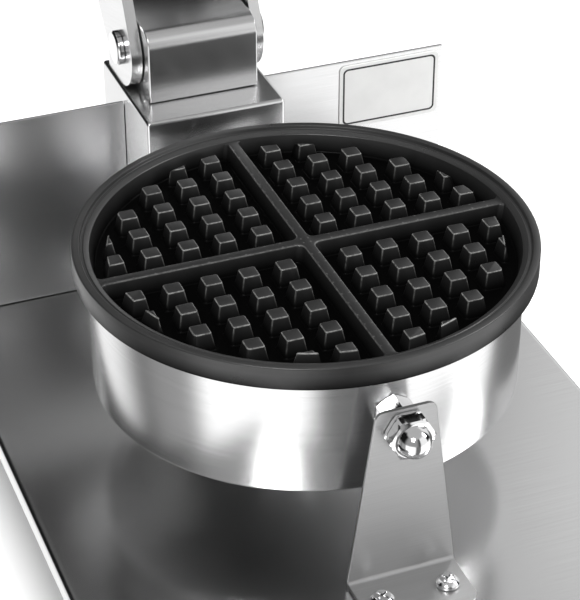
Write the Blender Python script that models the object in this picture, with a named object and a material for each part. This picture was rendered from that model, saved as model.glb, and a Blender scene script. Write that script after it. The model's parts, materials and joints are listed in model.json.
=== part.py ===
"""Single-head round waffle baker with a four-quarter stud grid, open lid and rear hinge tower.

Metres, +Z up, front towards -Y.  The fixed lower drum is held over a folded base plate by a front
bracket and a rear support tube.  The upper drum swings on a pin at the top of the hinge tower and
rests open, leaning back on its heels.
"""
import math

import bmesh
import bpy
from mathutils import Matrix, Vector

MM = 0.001
GAP = 0.3 * MM                       # clearance kept between touching pieces

# --- driving dimensions -------------------------------------------------------------------------
PITCH = 16.0 * MM                    # stud spacing of the grid
FOOT_HEIGHT = 12.0 * MM
PLATE_TOP = 50.0 * MM                # height of the base plate's upper face
GRID_Z = PLATE_TOP + 96.8 * MM       # height of the lower stud tops
DRUM_Y = -42.76 * MM                 # drum axis, set so that the whole object is centred on the origin
LID_OPEN = math.radians(105.0)       # angle between the closed lid and its rest position

# Base
PLATE_HALF_X = 127.2 * MM
PLATE_FRONT = -165.0 * MM            # from the drum axis
PLATE_REAR = 192.0 * MM
SHEET = 1.5 * MM
LIP = 8.0 * MM
TRAY_HALF_X = 103.0 * MM
TRAY_FRONT = PLATE_FRONT + SHEET + GAP
TRAY_REAR = 180.0 * MM
PANEL_MID_Z = 26.8 * MM              # height of the controls
PLATE_CORNER_R = 4.0 * MM
PLATE_FOLD_R = 2.4 * MM
WIRE_HOLE_Y = 125.0 * MM             # under the tower
FOOT_X = 84.0 * MM
FOOT_FRONT = -140.0 * MM
FOOT_REAR = 155.0 * MM
FOOT_R = 14.0 * MM

# Controls, from left to right along the front
ROCKER_X = -78.0 * MM
POWER_LAMP_X = -46.0 * MM
TIMER_X = -8.0 * MM
READY_LAMP_X = 30.0 * MM
THERMOSTAT_X = 68.0 * MM
SHAFT_R = 3.0 * MM
LAMP_R = 4.5 * MM
LAMP_LENGTH = 14.0 * MM              # behind the panel
KNOB_R = 13.5 * MM
KNOB_LENGTH = 15.0 * MM
ROCKER_HALF_X = 10.0 * MM            # switch body, which snaps into the panel
ROCKER_HALF_Z = 7.5 * MM
CONTROL_HOLES = (("timer", TIMER_X, SHAFT_R + 2.3 * MM), ("thermostat", THERMOSTAT_X, SHAFT_R + 2.3 * MM),
                 ("power_lamp", POWER_LAMP_X, LAMP_R + GAP), ("ready_lamp", READY_LAMP_X, LAMP_R + GAP))

# Rear wall, cover and tower
WALL_Y = 142.4 * MM
COVER_REAR = 190.5 * MM
COVER_SHOULDER_Z = 106.0 * MM
COVER_SHEET = 1.2 * MM
TOWER_HALF_X = 33.0 * MM
TOWER_FRONT = 108.0 * MM
TOWER_REAR = 176.0 * MM
TOWER_TOP = GRID_Z + 5.6 * MM
PANEL_FLANGE = 15.0 * MM             # back panels' fold on the plate
INLET_X = -80.0 * MM
INLET_Z = PLATE_TOP + 28.0 * MM
INLET_HALF_X = 13.5 * MM
INLET_HALF_Z = 10.0 * MM
LABEL_LEFT = 73.6 * MM
LABEL_RIGHT = 125.0 * MM
LABEL_TOP = GRID_Z - 2.0 * MM
LABEL_FOOT = GRID_Z - 35.2 * MM

# Hinge
HINGE_Y = 150.0 * MM
HINGE_Z = GRID_Z + 24.0 * MM
HINGE_PIN_R = 5.0 * MM
BLOCK_HALF_X = 26.0 * MM
BLOCK_FRONT = 125.0 * MM
BLOCK_REAR = 175.0 * MM
BLOCK_TOP = HINGE_Z + 16.0 * MM
ARM_THICK = 5.0 * MM
ARM_INNER_X = BLOCK_HALF_X + 2 * GAP
BLOCK_WALL = 3.0 * MM
BLOCK_EDGE_R = 8.0 * MM
PIN_HEAD_R = 8.0 * MM
HEEL_REACH = 19.0 * MM               # how far the arms' heels lie along the tower's top
YOKE_TOP = HINGE_Z + 37.0 * MM
YOKE_FOOT = HINGE_Z - 6.0 * MM
YOKE_SHEET = 4.0 * MM
YOKE_SCREW_X = 13.0 * MM
YOKE_SCREW_Z = HINGE_Z + 16.0 * MM

# Drum halves: radii from the drum axis, depths below the stud tops
RING_R = 96.2 * MM
RING_DEPTH = 7.2 * MM
RIM_RISE = 2.8 * MM
WALL_TOP_R = 88.8 * MM
WALL_FLOOR_R = 87.0 * MM
GRID_DEPTH = 7.6 * MM
GRID_BACK = 14.5 * MM
GRID_BACK_R = 88.3 * MM
CASING_R = 90.2 * MM
CASING_SHEET = 1.2 * MM
CASING_DEPTH = 60.8 * MM
CASING_EDGE_R = 3.0 * MM
CLOSED_GAP = 7.0 * MM                # between the two sets of stud tops when shut
ROUND_STEPS = 48                     # facets round the drum
MID_STEPS = 20                       # round the knobs, grip, tube and pin
SMALL_STEPS = 12                     # round the screws, lamps and bolts

# Studs and dividers
STUD_FIRST = 14.2 * MM
STUD_TOP = 7.2 * MM
STUD_BASE = 10.3 * MM
STUD_ROWS = (5, 5, 4, 3, 2)          # studs counted outwards from a divider, row by row
STUD_LIMIT_R = 83.2 * MM
DIVIDER_TOP = 4.8 * MM
DIVIDER_BASE = 7.4 * MM

# Heater stack
ELEMENT_R = 60.0 * MM
ELEMENT_TUBE_R = 3.5 * MM
CLAMP_R = 80.0 * MM
INSULATION_R = 83.0 * MM
TIE_R = 3.0 * MM

# Front support
BOLT_Z = GRID_Z - 25.0 * MM
BOLT_R = 5.0 * MM
BRACKET_FRONT = -103.5 * MM
BRACKET_THICK = 1.5 * MM
BRACKET_TOP = GRID_Z - 15.0 * MM
BRACKET_TOP_HALF = 12.4 * MM
BRACKET_FOOT_HALF = 23.4 * MM
BRACKET_CORNER_R = 3.6 * MM
HEX_ACROSS = 17.0 * MM
SPACER_ACROSS = 14.0 * MM
LOCK_NUT = 1.8 * MM                  # thickness
DOME_R = 6.9 * MM
TOE_LENGTH = 26.0 * MM               # bracket's foot, bent forward
FOOT_SCREW_X = 14.0 * MM
FOOT_SCREW_Y = BRACKET_FRONT - 14.0 * MM
FOOT_SCREW_SHANK = 4.5 * MM
SCREW_R = 2.5 * MM
SCREW_HOLE_R = 2.9 * MM
TUBE_R = 6.4 * MM                    # rear support
COLLAR_R = 12.0 * MM

# Handle
HANDLE_Z = 40.0 * MM                 # above the lower stud tops when the lid is shut
GRIP_R = 13.0 * MM
GRIP_START = -112.0 * MM
GRIP_END = -204.0 * MM
STEM_R = 4.9 * MM


# --- helpers ------------------------------------------------------------------------------------
def clear_scene():
    for obj in list(bpy.data.objects):
        bpy.data.objects.remove(obj, do_unlink=True)


def finish(name, colour, metallic, roughness):
    mat = bpy.data.materials.new(name)
    mat.use_nodes = True
    shader = mat.node_tree.nodes["Principled BSDF"]
    shader.inputs["Base Color"].default_value = (*colour, 1.0)
    shader.inputs["Metallic"].default_value = metallic
    shader.inputs["Roughness"].default_value = roughness
    mat.diffuse_color = (*colour, 1.0)
    return mat


STEEL = ((0.62, 0.62, 0.63), 1.0, 0.32)
CHROME = ((0.80, 0.80, 0.81), 1.0, 0.08)
BLACK_COATING = ((0.025, 0.025, 0.027), 0.0, 0.42)
ALUMINIUM = ((0.66, 0.66, 0.67), 1.0, 0.45)
PLASTIC = ((0.02, 0.02, 0.022), 0.0, 0.38)
RUBBER = ((0.015, 0.015, 0.016), 0.0, 0.75)
CERAMIC = ((0.80, 0.78, 0.72), 0.0, 0.90)
RED_LENS = ((0.55, 0.03, 0.02), 0.0, 0.15)
GREEN_LENS = ((0.03, 0.40, 0.08), 0.0, 0.15)
WHITE_LABEL = ((0.86, 0.86, 0.85), 0.0, 0.40)


def add_piece(name, shape, look, holder=None):
    """Turn a bmesh in world coordinates into an object, under an optional empty on its axis."""
    if holder is not None:
        bmesh.ops.translate(shape, vec=-holder.location, verts=shape.verts)
    bmesh.ops.recalc_face_normals(shape, faces=shape.faces)
    mesh = bpy.data.meshes.new(name)
    shape.to_mesh(mesh)
    shape.free()
    mesh.materials.append(finish(name, *look))
    mesh.shade_smooth()
    mesh.set_sharp_from_angle(angle=math.radians(35))
    obj = bpy.data.objects.new(name, mesh)
    bpy.context.collection.objects.link(obj)
    obj.parent = holder
    return obj


def add_cutter(name, shape, holder=None):
    obj = add_piece(name, shape, PLASTIC, holder)
    obj.hide_render = True
    obj.display_type = "WIRE"
    return obj


def combine(obj, other, operation="DIFFERENCE"):
    step = obj.modifiers.new(other.name, "BOOLEAN")
    step.operation = operation
    step.solver = "EXACT"
    step.object = other


def axis_empty(name, location):
    empty = bpy.data.objects.new(name, None)
    empty.location = location
    bpy.context.collection.objects.link(empty)
    return empty


def box(x, y, z):
    """A block from (low, high) pairs along each axis."""
    shape = bmesh.new()
    size = Vector((x[1] - x[0], y[1] - y[0], z[1] - z[0]))
    middle = Vector((x[0] + x[1], y[0] + y[1], z[0] + z[1])) / 2
    bmesh.ops.create_cube(shape, size=1.0, matrix=Matrix.Translation(middle) @ Matrix.Diagonal((*size, 1.0)))
    return shape


def bevel_edges(shape, test, radius, steps=2):
    """Round the edges whose two ends pass the test."""
    chosen = [e for e in shape.edges if test(*(v.co for v in e.verts))]
    bmesh.ops.bevel(shape, geom=chosen, offset=radius, segments=steps, profile=0.5, affect="EDGES")
    return shape


def along(axis):
    """Test for edges that run along one axis."""
    return lambda a, b: abs((b - a).normalized()[axis]) > 0.999


def prism(points, plane, low, high):
    """Extrude an outline drawn in the XY, XZ or YZ plane between two values of the third axis."""
    order = {"XY": (0, 1, 2), "XZ": (0, 2, 1), "YZ": (1, 2, 0)}[plane]
    shape = bmesh.new()
    corners = []
    for first, second in points:
        spot = [0.0, 0.0, 0.0]
        spot[order[0]] = first
        spot[order[1]] = second
        spot[order[2]] = low
        corners.append(shape.verts.new(spot))
    face = shape.faces.new(corners)
    push = [0.0, 0.0, 0.0]
    push[order[2]] = high - low
    grown = bmesh.ops.extrude_face_region(shape, geom=[face])
    new_verts = [g for g in grown["geom"] if isinstance(g, bmesh.types.BMVert)]
    bmesh.ops.translate(shape, vec=push, verts=new_verts)
    return shape


def arc(centre, radius, start, end, steps):
    """Points along an arc, angles in degrees."""
    turn = [math.radians(start + (end - start) * i / steps) for i in range(steps + 1)]
    return [(centre[0] + radius * math.cos(t), centre[1] + radius * math.sin(t)) for t in turn]


def turned(profile, place=Matrix.Identity(4), steps=ROUND_STEPS):
    """Spin a closed (radius, height) outline about Z, then move it with the given matrix."""
    shape = bmesh.new()
    verts = [shape.verts.new((r, 0.0, z)) for r, z in profile]
    edges = []
    for i, vert in enumerate(verts):
        after = verts[(i + 1) % len(verts)]
        on_axis = profile[i][0] < 1e-9 and profile[(i + 1) % len(verts)][0] < 1e-9
        if not on_axis:
            edges.append(shape.edges.new((vert, after)))
    bmesh.ops.spin(shape, geom=verts + edges, cent=(0, 0, 0), axis=(0, 0, 1),
                   angle=2 * math.pi, steps=steps, use_merge=True, use_duplicate=False)
    bmesh.ops.remove_doubles(shape, verts=shape.verts, dist=1e-6)
    bmesh.ops.transform(shape, matrix=place, verts=shape.verts)
    return shape


def facing(direction, spot):
    """Matrix that sends local +Z to a world direction and the local origin to a spot."""
    turn = Vector((0, 0, 1)).rotation_difference(Vector(direction)).to_matrix().to_4x4()
    return Matrix.Translation(spot) @ turn


def rod(radius, length, place, steps=MID_STEPS):
    return turned([(0, 0), (radius, 0), (radius, length), (0, length)], place, steps)


def hex_rod(across, length, place, turn=30):
    """Hexagonal bar; turned 30 degrees it lies flat side up, and unturned it stands corner up."""
    shape = bmesh.new()
    radius = across / math.sqrt(3)
    lift = Matrix.Translation((0, 0, length / 2)) @ Matrix.Rotation(math.radians(turn), 4, "Z")
    bmesh.ops.create_cone(shape, cap_ends=True, segments=6, radius1=radius, radius2=radius,
                          depth=length, matrix=place @ lift)
    return shape


def from_drum(x, y, z):
    """A point given from the drum axis in Y and from the floor in Z."""
    return Vector((x, DRUM_Y + y, z))


def span_y(low, high):
    return (DRUM_Y + low, DRUM_Y + high)


# --- base ---------------------------------------------------------------------------------------
def make_base_plate():
    """Folded tray, open below, with rounded folds and a wire hole under the tower."""
    plate = box((-PLATE_HALF_X, PLATE_HALF_X), span_y(PLATE_FRONT, PLATE_REAR), (PLATE_TOP - LIP, PLATE_TOP))
    bevel_edges(plate, along(2), PLATE_CORNER_R)
    bevel_edges(plate, lambda a, b: min(a.z, b.z) > PLATE_TOP - 0.1 * MM, PLATE_FOLD_R)
    obj = add_piece("base_plate", plate, STEEL)
    inside = box((-PLATE_HALF_X + SHEET, PLATE_HALF_X - SHEET),
                 span_y(PLATE_FRONT + SHEET, PLATE_REAR - SHEET),
                 (PLATE_TOP - LIP - 1 * MM, PLATE_TOP - SHEET))
    bevel_edges(inside, along(2), PLATE_CORNER_R - SHEET)
    combine(obj, add_cutter("plate_inside", inside))
    wires = rod(9 * MM, 8 * MM, facing((0, 0, 1), from_drum(0, WIRE_HOLE_Y, PLATE_TOP - 5 * MM)))
    combine(obj, add_cutter("plate_wire_hole", wires))
    for i, side in enumerate((-1, 1)):
        spot = from_drum(side * FOOT_SCREW_X, FOOT_SCREW_Y, PLATE_TOP - 5 * MM)
        hole = rod(SCREW_HOLE_R, 8 * MM, facing((0, 0, 1), spot), SMALL_STEPS)
        combine(obj, add_cutter(f"plate_screw_hole_{i}", hole))


def make_enclosure():
    """Four walls under the plate that hold the controls, closed below by the bottom cover."""
    top = PLATE_TOP - SHEET - GAP
    walls = box((-TRAY_HALF_X, TRAY_HALF_X), span_y(TRAY_FRONT, TRAY_REAR), (FOOT_HEIGHT, top))
    bevel_edges(walls, along(2), 3.0 * MM)
    obj = add_piece("base_enclosure", walls, STEEL)
    inside = box((-TRAY_HALF_X + SHEET, TRAY_HALF_X - SHEET),
                 span_y(TRAY_FRONT + SHEET, TRAY_REAR - SHEET), (FOOT_HEIGHT - 5 * MM, top + 5 * MM))
    combine(obj, add_cutter("enclosure_inside", inside))
    front = DRUM_Y + TRAY_FRONT
    for name, x, radius in CONTROL_HOLES:
        hole = rod(radius, 10 * MM, facing((0, 1, 0), (x, front - 4 * MM, PANEL_MID_Z)), SMALL_STEPS)
        combine(obj, add_cutter(f"{name}_hole", hole))
    half_x, half_z = ROCKER_HALF_X + GAP, ROCKER_HALF_Z + GAP
    slot = box((ROCKER_X - half_x, ROCKER_X + half_x), (front - 4 * MM, front + 6 * MM),
               (PANEL_MID_Z - half_z, PANEL_MID_Z + half_z))
    combine(obj, add_cutter("rocker_slot", slot))


def make_bottom_cover():
    """Flat sheet with two rows of vent slots, held inside the enclosure walls."""
    edge = SHEET + GAP
    sheet = box((-TRAY_HALF_X + edge, TRAY_HALF_X - edge), span_y(TRAY_FRONT + edge, TRAY_REAR - edge),
                (FOOT_HEIGHT + GAP, FOOT_HEIGHT + GAP + COVER_SHEET))
    obj = add_piece("bottom_cover", sheet, STEEL)
    pitch, half_wide, half_long = 24 * MM, 3 * MM, 20 * MM
    for row, y in enumerate((-60 * MM, 60 * MM)):
        for column in range(5):
            x = (column - 2) * pitch
            slot = box((x - half_wide, x + half_wide), span_y(y - half_long, y + half_long),
                       (FOOT_HEIGHT - 2 * MM, FOOT_HEIGHT + 5 * MM))
            combine(obj, add_cutter(f"vent_{row}_{column}", slot))


def make_feet():
    profile = [(0, 0), (FOOT_R - 3 * MM, 0), (FOOT_R - 1.5 * MM, 1.5 * MM), (FOOT_R, FOOT_HEIGHT),
               (0, FOOT_HEIGHT)]
    for end, y in (("front", FOOT_FRONT), ("rear", FOOT_REAR)):
        for side, x in (("left", -FOOT_X), ("right", FOOT_X)):
            foot = turned(profile, Matrix.Translation(from_drum(x, y, 0)), MID_STEPS)
            add_piece(f"foot_{end}_{side}", foot, RUBBER)


# --- controls on the front of the enclosure --------------------------------------------------------
def make_knob(name, x):
    """Round knob with a pointer ridge, on an empty at its shaft's axis."""
    front = DRUM_Y + TRAY_FRONT
    holder = axis_empty(f"{name}_axis", Vector((x, front, PANEL_MID_Z)))
    base = -1.0 * MM
    tip = base - KNOB_LENGTH
    profile = [(SHAFT_R + GAP, base), (KNOB_R, base), (KNOB_R, base - 3 * MM),
               (KNOB_R - 1.2 * MM, base - 4 * MM),
               (KNOB_R - 2.4 * MM, tip + 1.2 * MM), (KNOB_R - 3.6 * MM, tip), (0, tip),
               (0, tip + 4 * MM), (SHAFT_R + GAP, tip + 4 * MM)]
    turned_knob = turned(profile, facing((0, 1, 0), (x, front, PANEL_MID_Z)), MID_STEPS)
    knob = add_piece(name, turned_knob, PLASTIC, holder)
    ridge = box((x - 1.6 * MM, x + 1.6 * MM), (front + tip - 2.0 * MM, front + base - 6 * MM),
                (PANEL_MID_Z + 4.5 * MM, PANEL_MID_Z + KNOB_R - 2.0 * MM))
    combine(knob, add_cutter(f"{name}_ridge", ridge, holder), "UNION")


def make_controls():
    front = DRUM_Y + TRAY_FRONT
    inner = front + SHEET + GAP
    for name, x, size in (("thermostat_body", THERMOSTAT_X, (36, 30, 24)),
                          ("timer_body", TIMER_X, (40, 26, 24))):
        wide, deep, tall = (s * MM for s in size)
        body = box((x - wide / 2, x + wide / 2), (inner, inner + deep),
                   (PANEL_MID_Z - tall / 2, PANEL_MID_Z + tall / 2))
        obj = add_piece(name, body, ALUMINIUM)
        shaft = rod(SHAFT_R, 14 * MM, facing((0, -1, 0), (x, inner + 2 * MM, PANEL_MID_Z)), SMALL_STEPS)
        combine(obj, add_cutter(f"{name}_shaft", shaft), "UNION")
    make_knob("thermostat_knob", THERMOSTAT_X)
    make_knob("timer_knob", TIMER_X)
    for name, x, look in (("power_lamp", POWER_LAMP_X, RED_LENS), ("ready_lamp", READY_LAMP_X, GREEN_LENS)):
        profile = [(0, LAMP_LENGTH), (LAMP_R, LAMP_LENGTH), (LAMP_R, -GAP), (LAMP_R + 2 * MM, -GAP),
                   (LAMP_R + 2 * MM, -1.5 * MM), (LAMP_R, -2.2 * MM), (LAMP_R * 0.7, -4 * MM), (0, -4.6 * MM)]
        add_piece(name, turned(profile, facing((0, 1, 0), (x, front, PANEL_MID_Z)), SMALL_STEPS), look)
    make_rocker(front)
    block = box((-30 * MM, 30 * MM), span_y(40 * MM, 60 * MM), (FOOT_HEIGHT + 2 * MM, FOOT_HEIGHT + 20 * MM))
    add_piece("terminal_block", block, CERAMIC)


def make_rocker(front):
    """Snap-in switch frame and a rocker that tips about a level axis in its mouth."""
    x, z = ROCKER_X, PANEL_MID_Z
    face = front - GAP - 2 * MM
    frame = box((x - ROCKER_HALF_X, x + ROCKER_HALF_X), (face, front + 18 * MM),
                (z - ROCKER_HALF_Z, z + ROCKER_HALF_Z))
    obj = add_piece("rocker_housing", frame, PLASTIC)
    flange_x, flange_z = ROCKER_HALF_X + 2 * MM, ROCKER_HALF_Z + 1.7 * MM
    flange = box((x - flange_x, x + flange_x), (face, front - GAP), (z - flange_z, z + flange_z))
    combine(obj, add_cutter("rocker_flange", flange), "UNION")
    mouth = box((x - 8.3 * MM, x + 8.3 * MM), (front - 6 * MM, front + 9 * MM), (z - 6 * MM, z + 6 * MM))
    combine(obj, add_cutter("rocker_mouth", mouth))
    pivot_y = front + 3 * MM
    holder = axis_empty("rocker_axis", Vector((x, pivot_y, z)))
    dish = [(pivot_y + 1.5 * MM, z - 4.0 * MM), (pivot_y - 6.0 * MM, z - 4.6 * MM), (pivot_y - 5.0 * MM, z),
            (pivot_y - 8.0 * MM, z + 4.6 * MM), (pivot_y + 1.5 * MM, z + 4.0 * MM), (pivot_y + 3.5 * MM, z)]
    add_piece("power_rocker", prism(dish, "YZ", x - 7.9 * MM, x + 7.9 * MM), PLASTIC, holder)


# --- rear wall, cover and tower --------------------------------------------------------------------
def make_back_panels():
    """Two upright sheets beside the tower, each with a flange turned back on the plate."""
    foot = PLATE_TOP + GAP
    fold = WALL_Y + PANEL_FLANGE
    outline = [(WALL_Y, foot), (fold, foot), (fold, foot + SHEET),
               (WALL_Y + SHEET, foot + SHEET), (WALL_Y + SHEET, GRID_Z), (WALL_Y, GRID_Z)]
    outline = [(DRUM_Y + y, z) for y, z in outline]
    for name, low, high in (("back_panel_left", -PLATE_HALF_X, -TOWER_HALF_X - GAP),
                            ("back_panel_right", TOWER_HALF_X + GAP, PLATE_HALF_X)):
        panel = add_piece(name, prism(outline, "YZ", low, high), STEEL)
        end = math.copysign(PLATE_HALF_X, low + high)
        corner = sorted((end - math.copysign(COVER_SHEET + GAP, end), end + math.copysign(1 * MM, end)))
        relief = box(corner, span_y(WALL_Y + SHEET, WALL_Y + 20 * MM), (foot - 1 * MM, foot + SHEET + 1 * MM))
        combine(panel, add_cutter(f"{name}_relief", relief))


def cover_outline(inset, foot, front):
    """Section of the rear cover: steep back, then a slope up to the wall's top."""
    rear = COVER_REAR - inset
    slope = math.atan2(GRID_Z - COVER_SHOULDER_Z, COVER_REAR - WALL_Y)
    drop = inset / math.cos(slope)
    shoulder = COVER_SHOULDER_Z - drop + inset * math.tan(slope)
    top = GRID_Z - drop - (front - WALL_Y) * math.tan(slope)
    return [(DRUM_Y + y, z) for y, z in ((front, foot), (rear, foot), (rear, shoulder), (front, top))]


def make_rear_cover():
    foot = PLATE_TOP + GAP
    face = WALL_Y + SHEET + GAP
    shell = prism(cover_outline(0, foot, face), "YZ", -PLATE_HALF_X, PLATE_HALF_X)
    obj = add_piece("rear_cover", shell, STEEL)
    hollow = prism(cover_outline(COVER_SHEET, foot - 5 * MM, face - 5 * MM), "YZ",
                   -PLATE_HALF_X + COVER_SHEET, PLATE_HALF_X - COVER_SHEET)
    combine(obj, add_cutter("cover_hollow", hollow))
    notch = box((-TOWER_HALF_X - GAP, TOWER_HALF_X + GAP), span_y(face - 10 * MM, TOWER_REAR + GAP),
                (foot - 5 * MM, GRID_Z + 10 * MM))
    combine(obj, add_cutter("cover_notch", notch))
    rear = DRUM_Y + COVER_REAR
    half_x, half_z = INLET_HALF_X + GAP, INLET_HALF_Z + GAP
    inlet = box((INLET_X - half_x, INLET_X + half_x), (rear - 5 * MM, rear + 5 * MM),
                (INLET_Z - half_z, INLET_Z + half_z))
    combine(obj, add_cutter("cover_inlet_hole", inlet))
    for i in range(5):
        z = PLATE_TOP + (18 + 7 * i) * MM
        slot = box((50 * MM, 90 * MM), (rear - 5 * MM, rear + 5 * MM), (z, z + 2.5 * MM))
        combine(obj, add_cutter(f"cover_vent_{i}", slot))


def make_power_inlet():
    """Recessed appliance inlet with three blades; the lead plugs in here."""
    rear = DRUM_Y + COVER_REAR
    face = rear + GAP + 2 * MM
    body = box((INLET_X - INLET_HALF_X, INLET_X + INLET_HALF_X), (rear - 16 * MM, face),
               (INLET_Z - INLET_HALF_Z, INLET_Z + INLET_HALF_Z))
    obj = add_piece("power_inlet", body, PLASTIC)
    flange_x, flange_z = INLET_HALF_X + 2.5 * MM, INLET_HALF_Z + 2.5 * MM
    flange = box((INLET_X - flange_x, INLET_X + flange_x), (rear + GAP, face),
                 (INLET_Z - flange_z, INLET_Z + flange_z))
    combine(obj, add_cutter("inlet_flange", flange), "UNION")
    socket_x, socket_z = INLET_HALF_X - 2 * MM, INLET_HALF_Z - 2.5 * MM
    socket = box((INLET_X - socket_x, INLET_X + socket_x), (rear - 12 * MM, rear + 5 * MM),
                 (INLET_Z - socket_z, INLET_Z + socket_z))
    combine(obj, add_cutter("inlet_socket", socket))
    for i, x in enumerate((-7 * MM, 0.0, 7 * MM)):
        blade = box((INLET_X + x - 1 * MM, INLET_X + x + 1 * MM), (rear - 13 * MM, rear - 2 * MM),
                    (INLET_Z - 2 * MM, INLET_Z + 2 * MM))
        combine(obj, add_cutter(f"inlet_blade_{i}", blade), "UNION")


def make_tower():
    """Open-bottomed column with rounded folds, standing on the plate."""
    foot = PLATE_TOP + GAP
    column = box((-TOWER_HALF_X, TOWER_HALF_X), span_y(TOWER_FRONT, TOWER_REAR), (foot, TOWER_TOP))
    bevel_edges(column, lambda a, b: max(a.z, b.z) > foot + 1 * MM, 1.6 * MM, 2)
    obj = add_piece("hinge_tower", column, STEEL)
    inside = box((-TOWER_HALF_X + SHEET, TOWER_HALF_X - SHEET),
                 span_y(TOWER_FRONT + SHEET, TOWER_REAR - SHEET), (foot - 5 * MM, TOWER_TOP - SHEET))
    combine(obj, add_cutter("tower_inside", inside))
    hole = rod(TUBE_R + GAP, 12 * MM, facing((0, 1, 0), from_drum(0, TOWER_FRONT - 5 * MM, BOLT_Z)))
    combine(obj, add_cutter("tower_tube_hole", hole))
    under_block = from_drum(0, HINGE_Y - 10 * MM, TOWER_TOP - 6 * MM)
    wires = rod(6 * MM, 12 * MM, facing((0, 0, 1), under_block), SMALL_STEPS)
    combine(obj, add_cutter("tower_wire_hole", wires))


def make_label():
    """Blank plate with a rounded outline on the right of the rear wall."""
    face = DRUM_Y + WALL_Y - GAP
    plate = box((LABEL_LEFT, LABEL_RIGHT), (face - 0.5 * MM, face), (LABEL_FOOT, LABEL_TOP))
    bevel_edges(plate, along(1), 3.0 * MM)
    add_piece("label_plate", plate, WHITE_LABEL)


# --- hinge ----------------------------------------------------------------------------------------
def make_hinge_block():
    """Folded housing on top of the tower, bored for the hinge pin."""
    foot = TOWER_TOP + GAP
    block = box((-BLOCK_HALF_X, BLOCK_HALF_X), span_y(BLOCK_FRONT, BLOCK_REAR), (foot, BLOCK_TOP))
    bevel_edges(block, lambda a, b: min(a.z, b.z) > foot + 1 * MM and along(0)(a, b), BLOCK_EDGE_R, 3)
    obj = add_piece("hinge_block", block, STEEL)
    wall = BLOCK_WALL
    inside = box((-BLOCK_HALF_X + wall, BLOCK_HALF_X - wall), span_y(BLOCK_FRONT + wall, BLOCK_REAR - wall),
                 (foot - 5 * MM, BLOCK_TOP - wall))
    bevel_edges(inside, lambda a, b: min(a.z, b.z) > foot and along(0)(a, b), BLOCK_EDGE_R - 2 * MM, 2)
    combine(obj, add_cutter("block_inside", inside))
    bore = rod(HINGE_PIN_R + GAP, 2 * BLOCK_HALF_X + 10 * MM,
               facing((1, 0, 0), from_drum(-BLOCK_HALF_X - 5 * MM, HINGE_Y, HINGE_Z)))
    combine(obj, add_cutter("block_bore", bore))


def make_hinge_pin():
    """Headed pin through the block and both arms, closed by a retaining cap."""
    reach = ARM_INNER_X + ARM_THICK + GAP
    head = 3.0 * MM
    ease = 1.0 * MM
    tip = reach + 2.5 * MM
    profile = [(0, -reach - head), (PIN_HEAD_R - ease, -reach - head), (PIN_HEAD_R, -reach - head + ease),
               (PIN_HEAD_R, -reach), (HINGE_PIN_R, -reach), (HINGE_PIN_R, tip), (0, tip)]
    place = facing((1, 0, 0), from_drum(0, HINGE_Y, HINGE_Z))
    add_piece("hinge_pin", turned(profile, place, MID_STEPS), CHROME)
    end = reach + 4 * MM
    cap = [(HINGE_PIN_R + GAP, reach), (PIN_HEAD_R, reach), (PIN_HEAD_R, end - ease),
           (PIN_HEAD_R - ease, end), (0, end), (0, tip + GAP), (HINGE_PIN_R + GAP, tip + GAP)]
    add_piece("hinge_pin_cap", turned(cap, place, MID_STEPS), CHROME)


def tilted(y, z, angle):
    return (y * math.cos(angle) - z * math.sin(angle), y * math.sin(angle) + z * math.cos(angle))


def make_yoke(holder):
    """Two arms and a curved saddle, drawn with the lid shut; the heels meet the tower when it is open."""
    rest_on = TOWER_TOP - HINGE_Z + GAP
    boss = abs(rest_on) - GAP
    heel = [tilted(y, z, LID_OPEN) for y, z in ((0.0, rest_on), (HEEL_REACH, rest_on), (HEEL_REACH, -7 * MM))]
    saddle_y = -(HINGE_Y - CASING_R) - 2 * MM
    outline = arc((0, 0), boss, -100, 10, 6) + heel
    outline += [(-18 * MM, 30 * MM), (saddle_y, 35 * MM), (saddle_y, -5 * MM)]
    outline = [(DRUM_Y + HINGE_Y + y, HINGE_Z + z) for y, z in outline]
    outer_x = ARM_INNER_X + ARM_THICK
    start = 90 - math.degrees(math.asin(outer_x / (CASING_R + GAP))) + 1.0
    ring = arc((0, DRUM_Y), CASING_R + YOKE_SHEET, start, 180 - start, 8)
    ring += arc((0, DRUM_Y), CASING_R + GAP, 180 - start, start, 8)
    yoke = add_piece("lid_yoke", prism(ring, "XY", YOKE_FOOT, YOKE_TOP), STEEL, holder)
    for side, low in (("left", -outer_x), ("right", ARM_INNER_X)):
        arm = prism(outline, "YZ", low, low + ARM_THICK)
        combine(yoke, add_cutter(f"yoke_arm_{side}", arm, holder), "UNION")
    low, high = YOKE_FOOT - 4 * MM, YOKE_TOP + 3 * MM
    clear = turned([(0, low), (CASING_R + GAP, low), (CASING_R + GAP, high), (0, high)],
                   Matrix.Translation((0, DRUM_Y, 0)))
    combine(yoke, add_cutter("yoke_casing_clearance", clear, holder))
    bore = rod(HINGE_PIN_R + GAP, 2 * outer_x + 10 * MM,
               facing((1, 0, 0), from_drum(-outer_x - 5 * MM, HINGE_Y, HINGE_Z)))
    combine(yoke, add_cutter("yoke_bore", bore, holder))
    for i, x in enumerate((-YOKE_SCREW_X, YOKE_SCREW_X)):
        spot = from_drum(x, 80 * MM, YOKE_SCREW_Z)
        hole = rod(SCREW_R + GAP, 20 * MM, facing((0, 1, 0), spot), SMALL_STEPS)
        combine(yoke, add_cutter(f"yoke_screw_hole_{i}", hole, holder))


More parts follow.
